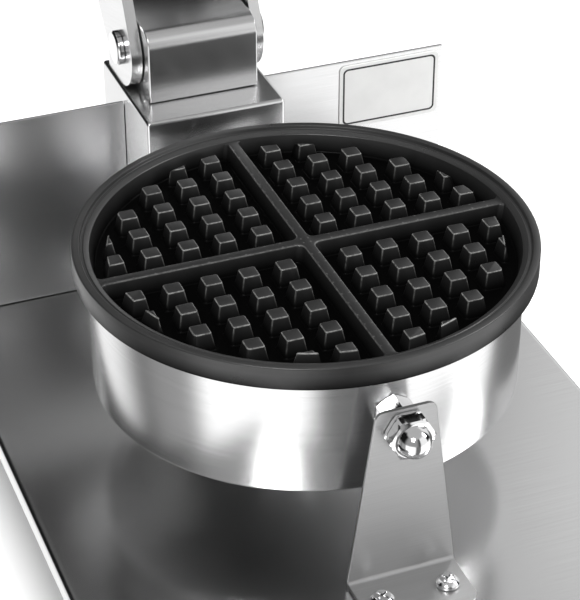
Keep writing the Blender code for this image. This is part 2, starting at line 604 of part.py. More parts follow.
# --- drum halves -----------------------------------------------------------------------------------
class DrumHalf:
    """One half of the drum: depths count away from its stud tops, downwards or upwards."""

    def __init__(self, word, top, sign, holder):
        self.word = word
        self.top = top
        self.sign = sign
        self.holder = holder

    def z(self, depth):
        return self.top - self.sign * depth

    def turned(self, profile, steps=ROUND_STEPS):
        outline = [(r, self.z(depth)) for r, depth in profile]
        return turned(outline, Matrix.Translation((0, DRUM_Y, 0)), steps)

    def add(self, name, shape, look):
        return add_piece(f"{self.word}_{name}", shape, look, self.holder)

    def cutter(self, name, shape):
        return add_cutter(f"{self.word}_{name}", shape, self.holder)


def frustum(half, centre, top_half, base_half, base_depth):
    """Square stud that widens with depth."""
    shape = bmesh.new()
    corners = ((-1, -1), (1, -1), (1, 1), (-1, 1))
    rings = []
    for reach, depth in ((top_half, 0.0), (base_half, base_depth)):
        rings.append([shape.verts.new((centre[0] + u * reach, DRUM_Y + centre[1] + v * reach, half.z(depth)))
                      for u, v in corners])
    shape.faces.new(rings[0])
    shape.faces.new(rings[1])
    for i in range(4):
        j = (i + 1) % 4
        shape.faces.new((rings[0][i], rings[0][j], rings[1][j], rings[1][i]))
    return shape


def merged(shapes):
    """Join several loose shapes into one mesh."""
    whole = bmesh.new()
    for shape in shapes:
        bmesh.ops.recalc_face_normals(shape, faces=shape.faces)
        part = bpy.data.meshes.new("part")
        shape.to_mesh(part)
        shape.free()
        whole.from_mesh(part)
        bpy.data.meshes.remove(part)
    return whole


def stud_centres():
    """Places of the studs in all four quarters, mirrored about both dividers."""
    spots = []
    for i, count in enumerate(STUD_ROWS):
        for j in range(count):
            x = STUD_FIRST + i * PITCH
            y = STUD_FIRST + j * PITCH
            spots += [(sx * x, sy * y) for sx in (-1, 1) for sy in (-1, 1)]
    return spots


def divider_cross(half):
    """Plus-shaped wall that widens with depth and ends inside the ring's wall."""
    shape = bmesh.new()
    rings = []
    for reach, width, depth in ((WALL_TOP_R + 0.6 * MM, DIVIDER_TOP / 2, 0.0),
                                (WALL_FLOOR_R + 0.6 * MM, DIVIDER_BASE / 2, GRID_DEPTH + 0.5 * MM)):
        quarter = [(reach, -width), (reach, width), (width, width)]
        points = []
        for turn in range(4):
            for x, y in quarter:
                for _ in range(turn):
                    x, y = -y, x
                points.append((x, y))
        rings.append([shape.verts.new((x, DRUM_Y + y, half.z(depth))) for x, y in points])
    count = len(rings[0])
    shape.faces.new(rings[0])
    shape.faces.new(rings[1])
    for i in range(count):
        j = (i + 1) % count
        shape.faces.new((rings[0][i], rings[0][j], rings[1][j], rings[1][i]))
    return shape


def make_grid(half):
    """Cast plate: rim ring, sloping wall, floor, studs and the cross that divides the quarters."""
    rim = -RIM_RISE
    profile = [(0, GRID_DEPTH), (WALL_FLOOR_R, GRID_DEPTH), (WALL_TOP_R, -0.8 * MM), (91.2 * MM, -1.6 * MM),
               (93.0 * MM, rim), (RING_R - 0.7 * MM, rim), (RING_R, rim + 0.7 * MM),
               (RING_R, RING_DEPTH), (GRID_BACK_R, RING_DEPTH), (GRID_BACK_R, GRID_BACK),
               (TIE_R + GAP, GRID_BACK), (TIE_R + GAP, GRID_BACK - 3.5 * MM), (0, GRID_BACK - 3.5 * MM)]
    grid = half.add("grid", half.turned(profile), BLACK_COATING)
    depth = GRID_DEPTH + 0.5 * MM
    studs = merged([frustum(half, spot, STUD_TOP / 2, STUD_BASE / 2, depth) for spot in stud_centres()])
    field = half.cutter("studs", studs)
    limit = half.turned([(0, -2 * MM), (STUD_LIMIT_R, -2 * MM), (STUD_LIMIT_R, 20 * MM), (0, 20 * MM)])
    combine(field, half.cutter("stud_limit", limit), "INTERSECT")
    combine(grid, field, "UNION")
    combine(grid, half.cutter("dividers", divider_cross(half)), "UNION")


def make_casing(half):
    """Spun cup with a rounded bottom edge and a centre hole for the tie bolt."""
    side = CASING_R
    inner = CASING_R - CASING_SHEET
    edge = arc((side - CASING_EDGE_R, CASING_DEPTH - CASING_EDGE_R), CASING_EDGE_R, 0, 90, 2)
    profile = [(side, RING_DEPTH + GAP)] + edge
    profile += [(TIE_R + 2 * GAP, CASING_DEPTH), (TIE_R + 2 * GAP, CASING_DEPTH - CASING_SHEET),
                (inner - 2 * MM, CASING_DEPTH - CASING_SHEET), (inner, CASING_DEPTH - CASING_EDGE_R),
                (inner, RING_DEPTH + GAP)]
    return half.add("casing", half.turned(profile), STEEL)


def make_heater(half):
    """Ring element under the grid, its clamp plate, an insulation pad and the tie bolt."""
    mid = GRID_BACK + GAP + ELEMENT_TUBE_R
    ring = bmesh.new()
    around, tube = 36, 8
    loops = []
    for i in range(around):
        turn = 2 * math.pi * i / around
        loop = []
        for k in range(tube):
            a = 2 * math.pi * k / tube
            r = ELEMENT_R + ELEMENT_TUBE_R * math.cos(a)
            loop.append(ring.verts.new((r * math.cos(turn), DRUM_Y + r * math.sin(turn),
                                        half.z(mid + ELEMENT_TUBE_R * math.sin(a)))))
        loops.append(loop)
    for i in range(around):
        for k in range(tube):
            here, there = loops[i], loops[(i + 1) % around]
            n = (k + 1) % tube
            ring.faces.new((here[k], here[n], there[n], there[k]))
    half.add("heating_element", ring, ALUMINIUM)
    clamp = mid + ELEMENT_TUBE_R + GAP
    hole = TIE_R + 2 * GAP
    half.add("clamp_plate", half.turned([(hole, clamp), (CLAMP_R, clamp), (CLAMP_R, clamp + 2 * MM),
                                         (hole, clamp + 2 * MM)], 32), ALUMINIUM)
    pad = clamp + 2 * MM + GAP
    floor = CASING_DEPTH - CASING_SHEET - GAP
    half.add("insulation_pad", half.turned([(hole, pad), (INSULATION_R, pad), (INSULATION_R, floor),
                                            (hole, floor)], 32), CERAMIC)
    head = CASING_DEPTH + GAP
    tip = GRID_BACK - 3.0 * MM
    head_r = 2 * TIE_R
    bolt = [(0, tip), (TIE_R, tip), (TIE_R, head), (head_r, head), (head_r, head + 2 * MM),
            (0.75 * head_r, head + 3.2 * MM), (0, head + 3.6 * MM)]
    half.add("tie_bolt", half.turned(bolt, SMALL_STEPS), CHROME)


# --- support of the lower drum ------------------------------------------------------------------------
def make_bracket():
    """Tapered upright with rounded top corners and a foot bent forward on the plate."""
    foot = PLATE_TOP + GAP
    half_top, half_foot, r = BRACKET_TOP_HALF, BRACKET_FOOT_HALF, BRACKET_CORNER_R
    right = arc((half_top - r, BRACKET_TOP - r), r, 90, 8, 4)
    left = [(-x, z) for x, z in reversed(right)]
    outline = left + right + [(half_foot, foot), (-half_foot, foot)]
    front, rear = DRUM_Y + BRACKET_FRONT, DRUM_Y + BRACKET_FRONT + BRACKET_THICK
    obj = add_piece("front_bracket", prism(outline, "XZ", front, rear), STEEL)
    toe = box((-half_foot + 0.5 * MM, half_foot - 0.5 * MM), (front - TOE_LENGTH, front + BRACKET_THICK / 2),
              (foot, foot + BRACKET_THICK))
    bevel_edges(toe, lambda a, b: along(2)(a, b) and a.y < front - TOE_LENGTH / 2, 5.0 * MM)
    combine(obj, add_cutter("bracket_toe", toe), "UNION")
    bolt = rod(BOLT_R + GAP, 12 * MM, facing((0, 1, 0), from_drum(0, BRACKET_FRONT - 4 * MM, BOLT_Z)))
    combine(obj, add_cutter("bracket_bolt_hole", bolt))
    for i, side in enumerate((-1, 1)):
        spot = from_drum(side * FOOT_SCREW_X, FOOT_SCREW_Y, foot - 4 * MM)
        hole = rod(SCREW_HOLE_R, 12 * MM, facing((0, 0, 1), spot), SMALL_STEPS)
        combine(obj, add_cutter(f"bracket_screw_hole_{i}", hole))


def screw_profile(shank_r, shank, head_r, head):
    """Pan-headed screw standing on its head's underside at height zero."""
    return [(0, -shank), (shank_r, -shank), (shank_r, 0), (head_r, 0), (head_r, head * 0.45),
            (head_r * 0.75, head * 0.9), (0, head)]


def make_front_support():
    """Stud, hex spacer, thin lock nut and dome nut that hold the drum to the bracket."""
    forward = (0, -1, 0)
    inside = CASING_R - CASING_SHEET - 0.8 * MM
    front = -BRACKET_FRONT
    dome_start = front + 2 * GAP + LOCK_NUT
    reach = dome_start + 4.5 * MM - inside
    head = 6.1 * MM
    stud = [(0, -3.4 * MM), (head, -3.4 * MM), (head, 0), (BOLT_R, 0), (BOLT_R, reach), (0, reach)]
    add_piece("front_stud", turned(stud, facing(forward, from_drum(0, -inside, BOLT_Z)), MID_STEPS), CHROME)
    start = CASING_R + GAP
    spacer_length = front - BRACKET_THICK - GAP - start
    spacer_place = facing(forward, from_drum(0, -start, BOLT_Z))
    spacer = add_piece("front_spacer", hex_rod(SPACER_ACROSS, spacer_length, spacer_place, 0), CHROME)
    nut_place = facing(forward, from_drum(0, -front - GAP, BOLT_Z))
    lock_nut = add_piece("front_lock_nut", hex_rod(HEX_ACROSS, LOCK_NUT, nut_place), CHROME)
    hole = rod(BOLT_R + GAP, 60 * MM, facing(forward, from_drum(0, -80 * MM, BOLT_Z)))
    bolt_hole = add_cutter("bolt_clearance", hole)
    combine(spacer, bolt_hole)
    combine(lock_nut, bolt_hole)
    dome_place = facing(forward, from_drum(0, -dome_start, BOLT_Z))
    nut = add_piece("front_dome_nut", hex_rod(HEX_ACROSS, 5.2 * MM, dome_place), CHROME)
    dome = [(0, 3 * MM), (DOME_R, 3 * MM), (DOME_R, 5.6 * MM)]
    dome += arc((0, 5.6 * MM), DOME_R, 15, 90, 5)
    combine(nut, add_cutter("nut_dome", turned(dome, dome_place, MID_STEPS)), "UNION")
    pocket = rod(BOLT_R + GAP, 7 * MM, facing(forward, from_drum(0, -dome_start + 1 * MM, BOLT_Z)))
    combine(nut, add_cutter("nut_pocket", pocket))
    for name, side in (("bracket_screw_left", -1), ("bracket_screw_right", 1)):
        top = PLATE_TOP + GAP + BRACKET_THICK + GAP
        screw = turned(screw_profile(SCREW_R, FOOT_SCREW_SHANK, 4.8 * MM, 3 * MM),
                       facing((0, 0, 1), from_drum(side * FOOT_SCREW_X, FOOT_SCREW_Y, top)), SMALL_STEPS)
        add_piece(name, screw, CHROME)


def make_rear_support():
    """Hollow collared tube that carries the drum's rear and its wires into the tower."""
    near, far = 85.5 * MM, TOWER_FRONT + 6 * MM
    bore = TUBE_R - 1.6 * MM
    collar = CASING_R + 0.8 * MM
    profile = [(bore, near), (TUBE_R, near), (TUBE_R, collar), (COLLAR_R, collar),
               (COLLAR_R, TOWER_FRONT - GAP), (TUBE_R, TOWER_FRONT - GAP), (TUBE_R, far), (bore, far)]
    place = facing((0, 1, 0), from_drum(0, 0, BOLT_Z))
    add_piece("rear_support_tube", turned(profile, place, MID_STEPS), STEEL)


# --- lid ------------------------------------------------------------------------------------------------
def make_handle(half):
    """Stem, heat-proof grip and end nut in line with the lid's front."""
    z = GRID_Z + HANDLE_Z
    place = facing((0, -1, 0), from_drum(0, 0, z))
    inner, flange = CASING_R - 6.2 * MM, CASING_R - 2.0 * MM
    collar = CASING_R + 0.5 * MM
    start, end = -GRIP_START, -GRIP_END
    stem = [(0, inner), (8 * MM, inner), (8 * MM, flange), (STEM_R, flange), (STEM_R, collar),
            (9 * MM, collar), (9 * MM, collar + 6 * MM), (6 * MM, collar + 9 * MM), (6 * MM, start - GAP),
            (STEM_R, start - GAP), (STEM_R, end + 3 * MM), (0, end + 3 * MM)]
    add_piece("handle_stem", turned(stem, place, MID_STEPS), CHROME, half.holder)
    bore = STEM_R + GAP
    grip = [(bore, start), (8 * MM, start), (9.5 * MM, start + 1.5 * MM), (11.6 * MM, start + 22 * MM),
            (GRIP_R, start + 46 * MM), (GRIP_R, start + 70 * MM), (11.6 * MM, end - 6 * MM),
            (8.5 * MM, end), (bore, end)]
    add_piece("handle_grip", turned(grip, place, MID_STEPS), PLASTIC, half.holder)
    nut = [(bore, end + GAP), (7.5 * MM, end + GAP), (7.5 * MM, end + 4 * MM), (5 * MM, end + 6.4 * MM),
           (0, end + 7.2 * MM), (0, end + 3 * MM + GAP), (bore, end + 3 * MM + GAP)]
    add_piece("handle_end_nut", turned(nut, place, MID_STEPS), CHROME, half.holder)


def make_lid(holder):
    upper = DrumHalf("upper", GRID_Z + CLOSED_GAP, -1, holder)
    make_grid(upper)
    casing = make_casing(upper)
    make_heater(upper)
    make_yoke(holder)
    stem_hole = rod(STEM_R + GAP, 20 * MM, facing((0, -1, 0), from_drum(0, -80 * MM, GRID_Z + HANDLE_Z)))
    combine(casing, upper.cutter("stem_hole", stem_hole))
    for i, (name, x) in enumerate((("yoke_screw_left", -YOKE_SCREW_X), ("yoke_screw_right", YOKE_SCREW_X))):
        spot = from_drum(x, 80 * MM, YOKE_SCREW_Z)
        hole = rod(SCREW_R + GAP, 20 * MM, facing((0, 1, 0), spot), SMALL_STEPS)
        combine(casing, upper.cutter(f"yoke_hole_{i}", hole))
        head = 4.5 * MM
        seat = math.sqrt((CASING_R + YOKE_SHEET) ** 2 - (abs(x) - head) ** 2) + GAP
        screw = turned(screw_profile(SCREW_R, 9 * MM, head, 3 * MM),
                       facing((0, 1, 0), from_drum(x, seat, YOKE_SCREW_Z)), SMALL_STEPS)
        add_piece(name, screw, CHROME, holder)
    make_handle(upper)
    holder.rotation_euler = (-LID_OPEN, 0, 0)


def make_lower_drum():
    lower = DrumHalf("lower", GRID_Z, 1, None)
    make_grid(lower)
    casing = make_casing(lower)
    make_heater(lower)
    front = rod(BOLT_R + GAP, 20 * MM, facing((0, -1, 0), from_drum(0, -80 * MM, BOLT_Z)))
    combine(casing, lower.cutter("bolt_hole", front))
    rear = rod(TUBE_R + GAP, 20 * MM, facing((0, 1, 0), from_drum(0, 80 * MM, BOLT_Z)))
    combine(casing, lower.cutter("tube_hole", rear))


def main():
    clear_scene()
    make_base_plate()
    make_enclosure()
    make_bottom_cover()
    make_feet()
    make_controls()
    make_back_panels()
    make_rear_cover()
    make_power_inlet()
    make_tower()
    make_label()
    make_hinge_block()
    make_hinge_pin()
    make_lower_drum()
    make_bracket()
    make_front_support()
    make_rear_support()
    make_lid(axis_empty("lid_axis", from_drum(0, HINGE_Y, HINGE_Z)))


main()
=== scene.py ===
"""Looks of the round waffle baker: fine meshes, finishes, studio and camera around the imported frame."""
import json
import math

import bmesh
import bpy
from mathutils import Matrix, Vector


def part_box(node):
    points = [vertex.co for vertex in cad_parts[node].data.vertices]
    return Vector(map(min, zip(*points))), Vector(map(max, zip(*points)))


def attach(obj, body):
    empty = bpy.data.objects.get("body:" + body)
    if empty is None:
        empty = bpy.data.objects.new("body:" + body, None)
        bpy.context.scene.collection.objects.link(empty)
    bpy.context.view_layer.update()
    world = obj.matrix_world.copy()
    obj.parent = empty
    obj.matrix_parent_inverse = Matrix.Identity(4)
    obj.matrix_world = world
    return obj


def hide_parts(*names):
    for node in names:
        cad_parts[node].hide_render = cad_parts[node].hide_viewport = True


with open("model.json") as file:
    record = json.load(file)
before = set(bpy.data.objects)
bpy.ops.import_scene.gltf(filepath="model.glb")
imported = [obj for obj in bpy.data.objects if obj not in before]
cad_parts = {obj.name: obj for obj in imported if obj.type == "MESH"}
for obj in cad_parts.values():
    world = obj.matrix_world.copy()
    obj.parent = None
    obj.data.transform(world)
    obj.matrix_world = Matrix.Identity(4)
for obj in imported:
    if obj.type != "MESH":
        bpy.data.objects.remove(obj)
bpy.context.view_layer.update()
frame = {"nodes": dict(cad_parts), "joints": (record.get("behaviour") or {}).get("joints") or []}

MM = 0.001
GAP = 0.3 * MM  # clearance between touching pieces
SHEET = 1.5 * MM  # plate, back panels, tower and bracket
ROUND_STEPS = 240  # sides round the drum
FACE_FRONT = Matrix.Rotation(math.radians(90), 4, "X")  # sends local +Z to the front

# --- grid, measured from the drum axis and down from the stud tops ---
PITCH = 16.0 * MM
STUD_FIRST = 14.2 * MM
STUD_ROWS = (5, 5, 4, 3, 2)  # studs counted outwards from a divider, row by row
STUD_HALF_TOP = 3.6 * MM
STUD_HALF_BASE = 5.1 * MM
STUD_EDGE = 0.6 * MM
STUD_CORNER_R = 0.5 * MM
STUD_LIMIT_TOP = 81.7 * MM  # the outer studs are cut to this circle
STUD_LIMIT_BASE = 83.6 * MM
DIVIDER_HALF_TOP = 2.4 * MM
DIVIDER_HALF_BASE = 3.7 * MM
DIVIDER_EDGE = 0.7 * MM
FOOT_FILLET = 0.7 * MM
GRID_DEPTH = 7.6 * MM
GRID_BACK = 14.5 * MM
GRID_BACK_R = 88.3 * MM
WALL_TOP_R = 88.9 * MM
WALL_FLOOR_R = 87.0 * MM
RING_R = 96.2 * MM
RING_DEPTH = 7.2 * MM
RIM_RISE = 2.8 * MM
CLOSED_GAP = 7.0 * MM  # between the two sets of stud tops when shut

# --- places read from the frame ---
GRID_LOW, GRID_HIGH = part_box("lower_grid")
TOWER_LOW, TOWER_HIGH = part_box("hinge_tower")
PANEL_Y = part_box("base_enclosure")[0].y  # front face of the control panel
AXIS_Y = (GRID_LOW.y + GRID_HIGH.y) / 2  # drum axis
GRID_Z = GRID_HIGH.z - RIM_RISE  # height of the lower stud tops
BOLT_Z = GRID_Z - 25.0 * MM  # front and rear supports
PIN_BORE_R = 5.3 * MM
SCREW_HEAD = 3.0 * MM
HINGE = next(j for j in frame["joints"] if j["name"] == "lid_hinge")
HINGE_AT = Vector(HINGE["pos_m"])
LID_OPEN = math.radians(HINGE["range_deg"][1])
TO_REST = Matrix.Translation(HINGE_AT) @ Matrix.Rotation(-LID_OPEN, 4, "X") @ Matrix.Translation(-HINGE_AT)
LOWER = Matrix.Translation((0, AXIS_Y, GRID_Z))
UPPER = TO_REST @ Matrix.Translation((0, AXIS_Y, GRID_Z + CLOSED_GAP)) @ Matrix.Rotation(math.pi, 4, "Y")
LID_SHUT = TO_REST @ LOWER  # from the shut lid's place to the open one


# --- node helpers ---
class Graph:
    """The nodes of a new material or world, added and linked in short calls."""

    def __init__(self, owner, shader="Principled BSDF"):
        owner.use_nodes = True
        self.owner = owner
        self.nodes = owner.node_tree.nodes
        self.links = owner.node_tree.links
        self.shader = self.nodes[shader]

    def add(self, kind, inputs=(), **settings):
        node = self.nodes.new(kind)
        for key, value in settings.items():
            setattr(node, key, value)
        for key, value in dict(inputs).items():
            if isinstance(value, bpy.types.NodeSocket):
                self.links.new(value, node.inputs[key])
            else:
                node.inputs[key].default_value = value
        return node

    def maths(self, operation, first, second=0.0):
        return self.add("ShaderNodeMath", {0: first, 1: second}, operation=operation).outputs[0]

    def times(self, first, second):
        return self.maths("MULTIPLY", first, second)

    def spread(self, value, low, high, to_low, to_high, kind="LINEAR"):
        """Map one stretch of a value to a new range."""
        inputs = {"Value": value, "From Min": low, "From Max": high, "To Min": to_low, "To Max": to_high}
        return self.add("ShaderNodeMapRange", inputs, interpolation_type=kind).outputs["Result"]

    def noise(self, vector, scale, detail=2.0, roughness=0.5):
        node = self.add("ShaderNodeTexNoise", {"Vector": vector, "Scale": scale, "Detail": detail,
                                               "Roughness": roughness})
        return node.outputs["Fac"]

    def stretched(self, vector, scales):
        return self.add("ShaderNodeMapping", {"Vector": vector, "Scale": scales}).outputs["Vector"]

    def place(self):
        return self.add("ShaderNodeTexCoord").outputs["Object"]

    def mix(self, factor, first, second):
        node = self.add("ShaderNodeMix", {"Factor": factor, "A": first, "B": second}, data_type="RGBA")
        return node.outputs["Result"]

    def set(self, **values):
        for key, value in values.items():
            socket = self.shader.inputs[key.replace("_", " ")]
            if isinstance(value, bpy.types.NodeSocket):
                self.links.new(value, socket)
            else:
                socket.default_value = value

    def bump(self, height, strength, distance):
        node = self.add("ShaderNodeBump", {"Height": height, "Strength": strength, "Distance": distance})
        self.links.new(node.outputs["Normal"], self.shader.inputs["Normal"])


def brushed_steel(name, grain, tone=0.70, rough=0.24, relief=0.04, uneven=0.008, stretch=0.5):
    """Satin stainless sheet with grain along the object's X or Z axis, or turned round its Z axis.

    Highlights stretch across the grain, so the tangent runs round the grain's axis.
    """
    g = Graph(bpy.data.materials.new(name))
    spot = g.place()
    long, fine = 20, 3000                         # streaks per metre, along and across the grain
    drum_r = 0.09
    scales = {"X": (long, fine, fine), "Z": (fine, fine, long), "ROUND": (long, fine, fine)}[grain]
    tangent = g.add("ShaderNodeTangent", direction_type="RADIAL", axis="X" if grain == "X" else "Z")
    g.set(Tangent=tangent.outputs[0])
    if grain == "ROUND":
        parts = g.add("ShaderNodeSeparateXYZ", {0: spot}).outputs
        angle = g.maths("ARCTAN2", parts[1], parts[0])
        flat = g.add("ShaderNodeCombineXYZ", {0: parts[0], 1: parts[1]}).outputs[0]
        reach = g.add("ShaderNodeVectorMath", {0: flat}, operation="LENGTH").outputs["Value"]
        along = g.times(angle, drum_r)
        spot = g.add("ShaderNodeCombineXYZ", {0: along, 1: reach, 2: parts[2]}).outputs[0]
        g.set(Anisotropic_Rotation=0.25)
    streak = g.noise(g.stretched(spot, scales), 1.0, 3.0, 0.6)
    haze = g.noise(spot, 14.0, 2.0)
    tint = g.mix(g.spread(streak, 0.25, 0.75, 0.0, 1.0), (tone * 0.93, tone * 0.93, tone * 0.93, 1),
                 (tone * 1.06, tone * 1.06, tone * 1.065, 1))
    wear = g.maths("ADD", g.spread(streak, 0.25, 0.75, -uneven, uneven),
                   g.spread(haze, 0.3, 0.7, -uneven, uneven))
    g.set(Base_Color=tint, Metallic=1.0, Roughness=g.maths("ADD", wear, rough), Anisotropic=stretch)
    g.bump(streak, relief, 0.00002)
    return g.owner


def coating(name):
    """Satin black non-stick coating: pale on the studs' edges, partly real rubbing and partly painted
    highlight, and darker and less glossy down in the grid as painted shade.
    """
    g = Graph(bpy.data.materials.new(name))
    spot = g.place()
    pebble = g.noise(spot, 1400.0, 3.0, 0.6)
    patch = g.noise(spot, 70.0, 4.0, 0.6)
    speck = g.noise(spot, 420.0, 4.0, 0.7)
    x, y, height = g.add("ShaderNodeSeparateXYZ", {0: spot}).outputs
    depth = g.maths("MAXIMUM", g.times(height, -1.0), 0.0)
    draft = (STUD_HALF_BASE - STUD_HALF_TOP) / GRID_DEPTH
    half = g.maths("ADD", g.times(depth, draft), STUD_HALF_TOP)
    across = []
    for side in (x, y):
        off = g.maths("SUBTRACT", g.maths("ABSOLUTE", side), STUD_FIRST)
        across.append(g.maths("SUBTRACT", g.maths("PINGPONG", off, PITCH / 2), half))
    sides = [g.spread(value, -0.75 * MM, -0.35 * MM, 0.0, 1.0) for value in across]
    inside = g.spread(g.maths("MAXIMUM", *across), 0.0, 0.3 * MM, 1.0, 0.0)
    corner = g.times(g.times(sides[0], sides[1]), inside)
    corner = g.times(corner, g.spread(depth, 1.5 * MM, 6.0 * MM, 1.0, 0.0))
    crest = g.times(g.spread(depth, 0.35 * MM, 0.6 * MM, 1.0, 0.0),
                    g.spread(depth, 0.02 * MM, 0.12 * MM, 0.0, 1.0))
    flat = g.add("ShaderNodeCombineXYZ", {0: x, 1: y}).outputs[0]
    reach = g.add("ShaderNodeVectorMath", {0: flat}, operation="LENGTH").outputs["Value"]
    # pale stud top edges and corners: partly real rubbed wear, partly painted highlight standing in for
    # glints on the edges
    wear_and_highlight = g.times(g.maths("MAXIMUM", crest, corner), g.spread(speck, 0.35, 0.6, 0.2, 1.0))
    wear_and_highlight = g.times(wear_and_highlight, g.spread(reach, STUD_LIMIT_TOP, WALL_FLOOR_R, 1.0, 0.0))
    by_wall = g.maths("MINIMUM", g.maths("ABSOLUTE", x), g.maths("ABSOLUTE", y))
    wear_and_highlight = g.times(wear_and_highlight, g.spread(by_wall, 6 * MM, 8 * MM, 0.35, 1.0))
    # painted shade: base colour and specular level fall off from the stud tops down to the grid floor
    raised = g.spread(height, -GRID_DEPTH, -0.8 * MM, 0.0, 1.0)
    black = g.mix(raised, (0.0008, 0.0008, 0.0008, 1), (0.012, 0.012, 0.012, 1))
    tint = g.mix(wear_and_highlight, black, (0.17, 0.17, 0.165, 1))
    rim = g.spread(height, 0.3 * MM, 1.2 * MM, 0.0, 1.0)
    g.set(Base_Color=g.mix(rim, tint, (0.016, 0.016, 0.016, 1)),
          Roughness=g.spread(patch, 0.3, 0.7, 0.27, 0.37),
          Specular_IOR_Level=g.spread(raised, 0.0, 1.0, 0.02, 0.70))
    g.bump(pebble, 0.16, 0.00005)
    return g.owner


def polished(name, tone=0.80, rough=0.07):
    """Bright plated or polished steel with faint rubbing."""
    g = Graph(bpy.data.materials.new(name))
    spot = g.place()
    rub = g.noise(spot, 300.0, 4.0, 0.7)
    smear = g.noise(spot, 90.0, 2.0)
    tint = g.mix(smear, (tone * 0.94,) * 3 + (1,), (tone, tone, tone * 1.01, 1))
    g.set(Base_Color=tint, Metallic=1.0, Roughness=g.spread(rub, 0.3, 0.8, rough, rough + 0.10))
    g.bump(rub, 0.04, 0.00003)
    return g.owner


def moulded(name, colour, rough=0.42, coat=0.0):
    """Moulded plastic, rubber or ceramic with a fine spark-eroded grain."""
    g = Graph(bpy.data.materials.new(name))
    spot = g.place()
    grain = g.noise(spot, 1800.0, 3.0, 0.6)
    cloud = g.noise(spot, 60.0, 3.0)
    darker = tuple(c * 0.82 for c in colour) + (1,)
    g.set(Base_Color=g.mix(cloud, darker, (*colour, 1)),
          Roughness=g.spread(cloud, 0.3, 0.7, rough - 0.06, rough + 0.08),
          Coat_Weight=coat, Coat_Roughness=0.08)
    g.bump(grain, 0.30, 0.00005)
    return g.owner


STEEL_X = brushed_steel("steel_grain_x", "X")
STEEL_PLATE = brushed_steel("steel_base_plate", "X", tone=0.68, rough=0.20, stretch=0.3)
STEEL_DULL = brushed_steel("steel_bracket", "X", tone=0.50, rough=0.40)
STEEL_Z = brushed_steel("steel_grain_z", "Z")
STEEL_ROUND = brushed_steel("steel_grain_round", "ROUND", tone=0.72)
COATING = coating("black_coating")
CHROME = polished("polished_steel")
ALUMINIUM = brushed_steel("dull_aluminium", "X", tone=0.60, rough=0.45)
PLASTIC = moulded("black_plastic", (0.016, 0.016, 0.018), 0.40)
RUBBER = moulded("foot_rubber", (0.014, 0.014, 0.014), 0.72)
CERAMIC = moulded("pale_ceramic", (0.78, 0.76, 0.70), 0.55)
FIBRE = moulded("mineral_fibre", (0.72, 0.68, 0.58), 0.92)
WHITE = moulded("label_white", (0.86, 0.86, 0.85), 0.38)
PRINT = moulded("label_print", (0.02, 0.02, 0.02), 0.45)
RED = moulded("red_lens", (0.55, 0.02, 0.015), 0.22, 0.8)
GREEN = moulded("green_lens", (0.02, 0.34, 0.07), 0.22, 0.8)


# --- mesh helpers ---
def mm(points):
    """Points, levels and corner radii given in millimetres, as metres."""
    return [tuple(value * MM for value in point) for point in points]


def rounded(points, closed=True, steps=4):
    """Replace corners (a, b, radius) with arcs; corners given without a radius stay sharp."""
    out = []
    count = len(points)
    for i, corner in enumerate(points):
        here = Vector(corner[:2])
        radius = corner[2] if len(corner) > 2 else 0.0
        if radius <= 0 or (not closed and i in (0, count - 1)):
            out.append(tuple(here))
            continue
        before = (Vector(points[i - 1][:2]) - here).normalized()
        after = (Vector(points[(i + 1) % count][:2]) - here).normalized()
        bend = before.angle(after)
        reach = radius / math.tan(bend / 2)
        middle = here + (before + after).normalized() * (radius / math.sin(bend / 2))
        start = here + before * reach - middle
        end = here + after * reach - middle
        turn = math.atan2(start.cross(end), start.dot(end))
        for k in range(steps + 1):
            a = turn * k / steps
            c, s = math.cos(a), math.sin(a)
            spun = Vector((start.x * c - start.y * s, start.x * s + start.y * c))
            out.append(tuple(middle + spun))
    return out


def lofted(rings, shape=None):
    """Skin matching rings of points, with a face over each end."""
    shape = shape or bmesh.new()
    rows = [[shape.verts.new(p) for p in ring] for ring in rings]
    for lower, upper in zip(rows, rows[1:]):
        for i in range(len(lower)):
            j = (i + 1) % len(lower)
            shape.faces.new((lower[i], lower[j], upper[j], upper[i]))
    shape.faces.new(rows[0][::-1])
    shape.faces.new(rows[-1])
    return shape


def turned(profile, steps=160):
    """Spin a closed (radius, height) outline about Z."""
    shape = bmesh.new()
    rows = []
    for r, z in profile:
        if r < 1e-7:
            rows.append([shape.verts.new((0, 0, z))])
        else:
            turns = (2 * math.pi * k / steps for k in range(steps))
            rows.append([shape.verts.new((r * math.cos(a), r * math.sin(a), z)) for a in turns])
    for i, row in enumerate(rows):
        after = rows[(i + 1) % len(rows)]
        if len(row) == 1 and len(after) == 1:
            continue
        for k in range(steps):
            n = (k + 1) % steps
            corners = [row[k % len(row)], row[n % len(row)], after[n % len(after)], after[k % len(after)]]
            shape.faces.new(list(dict.fromkeys(corners)))
    return shape


def prism(points, plane, low, high):
    """Extrude an outline drawn in the XY, XZ or YZ plane between two values of the third axis."""
    order = {"XY": (0, 1, 2), "XZ": (0, 2, 1), "YZ": (1, 2, 0)}[plane]
    rings = []
    for level in (low, high):
        ring = []
        for first, second in points:
            spot = [0.0, 0.0, 0.0]
            spot[order[0]], spot[order[1]], spot[order[2]] = first, second, level
            ring.append(spot)
        rings.append(ring)
    return lofted(rings)


def block(low, high):
    outline = [(low[0], low[1]), (high[0], low[1]), (high[0], high[1]), (low[0], high[1])]
    return prism(outline, "XY", low[2], high[2])


def four_corners(half_x, half_y, radius):
    return [(half_x, -half_y, radius), (half_x, half_y, radius), (-half_x, half_y, radius),
            (-half_x, -half_y, radius)]


def round_rect(half_x, half_y, radius, z, middle=(0.0, 0.0), steps=6):
    outline = rounded(four_corners(half_x, half_y, radius), steps=steps)
    return [(middle[0] + x, middle[1] + y, z) for x, y in outline]


def stacked(levels, middle=(0.0, 0.0), steps=6):
    """Loft rounded rectangles given as (half width, half height, corner radius, level)."""
    return lofted([round_rect(*level, middle, steps) for level in levels])


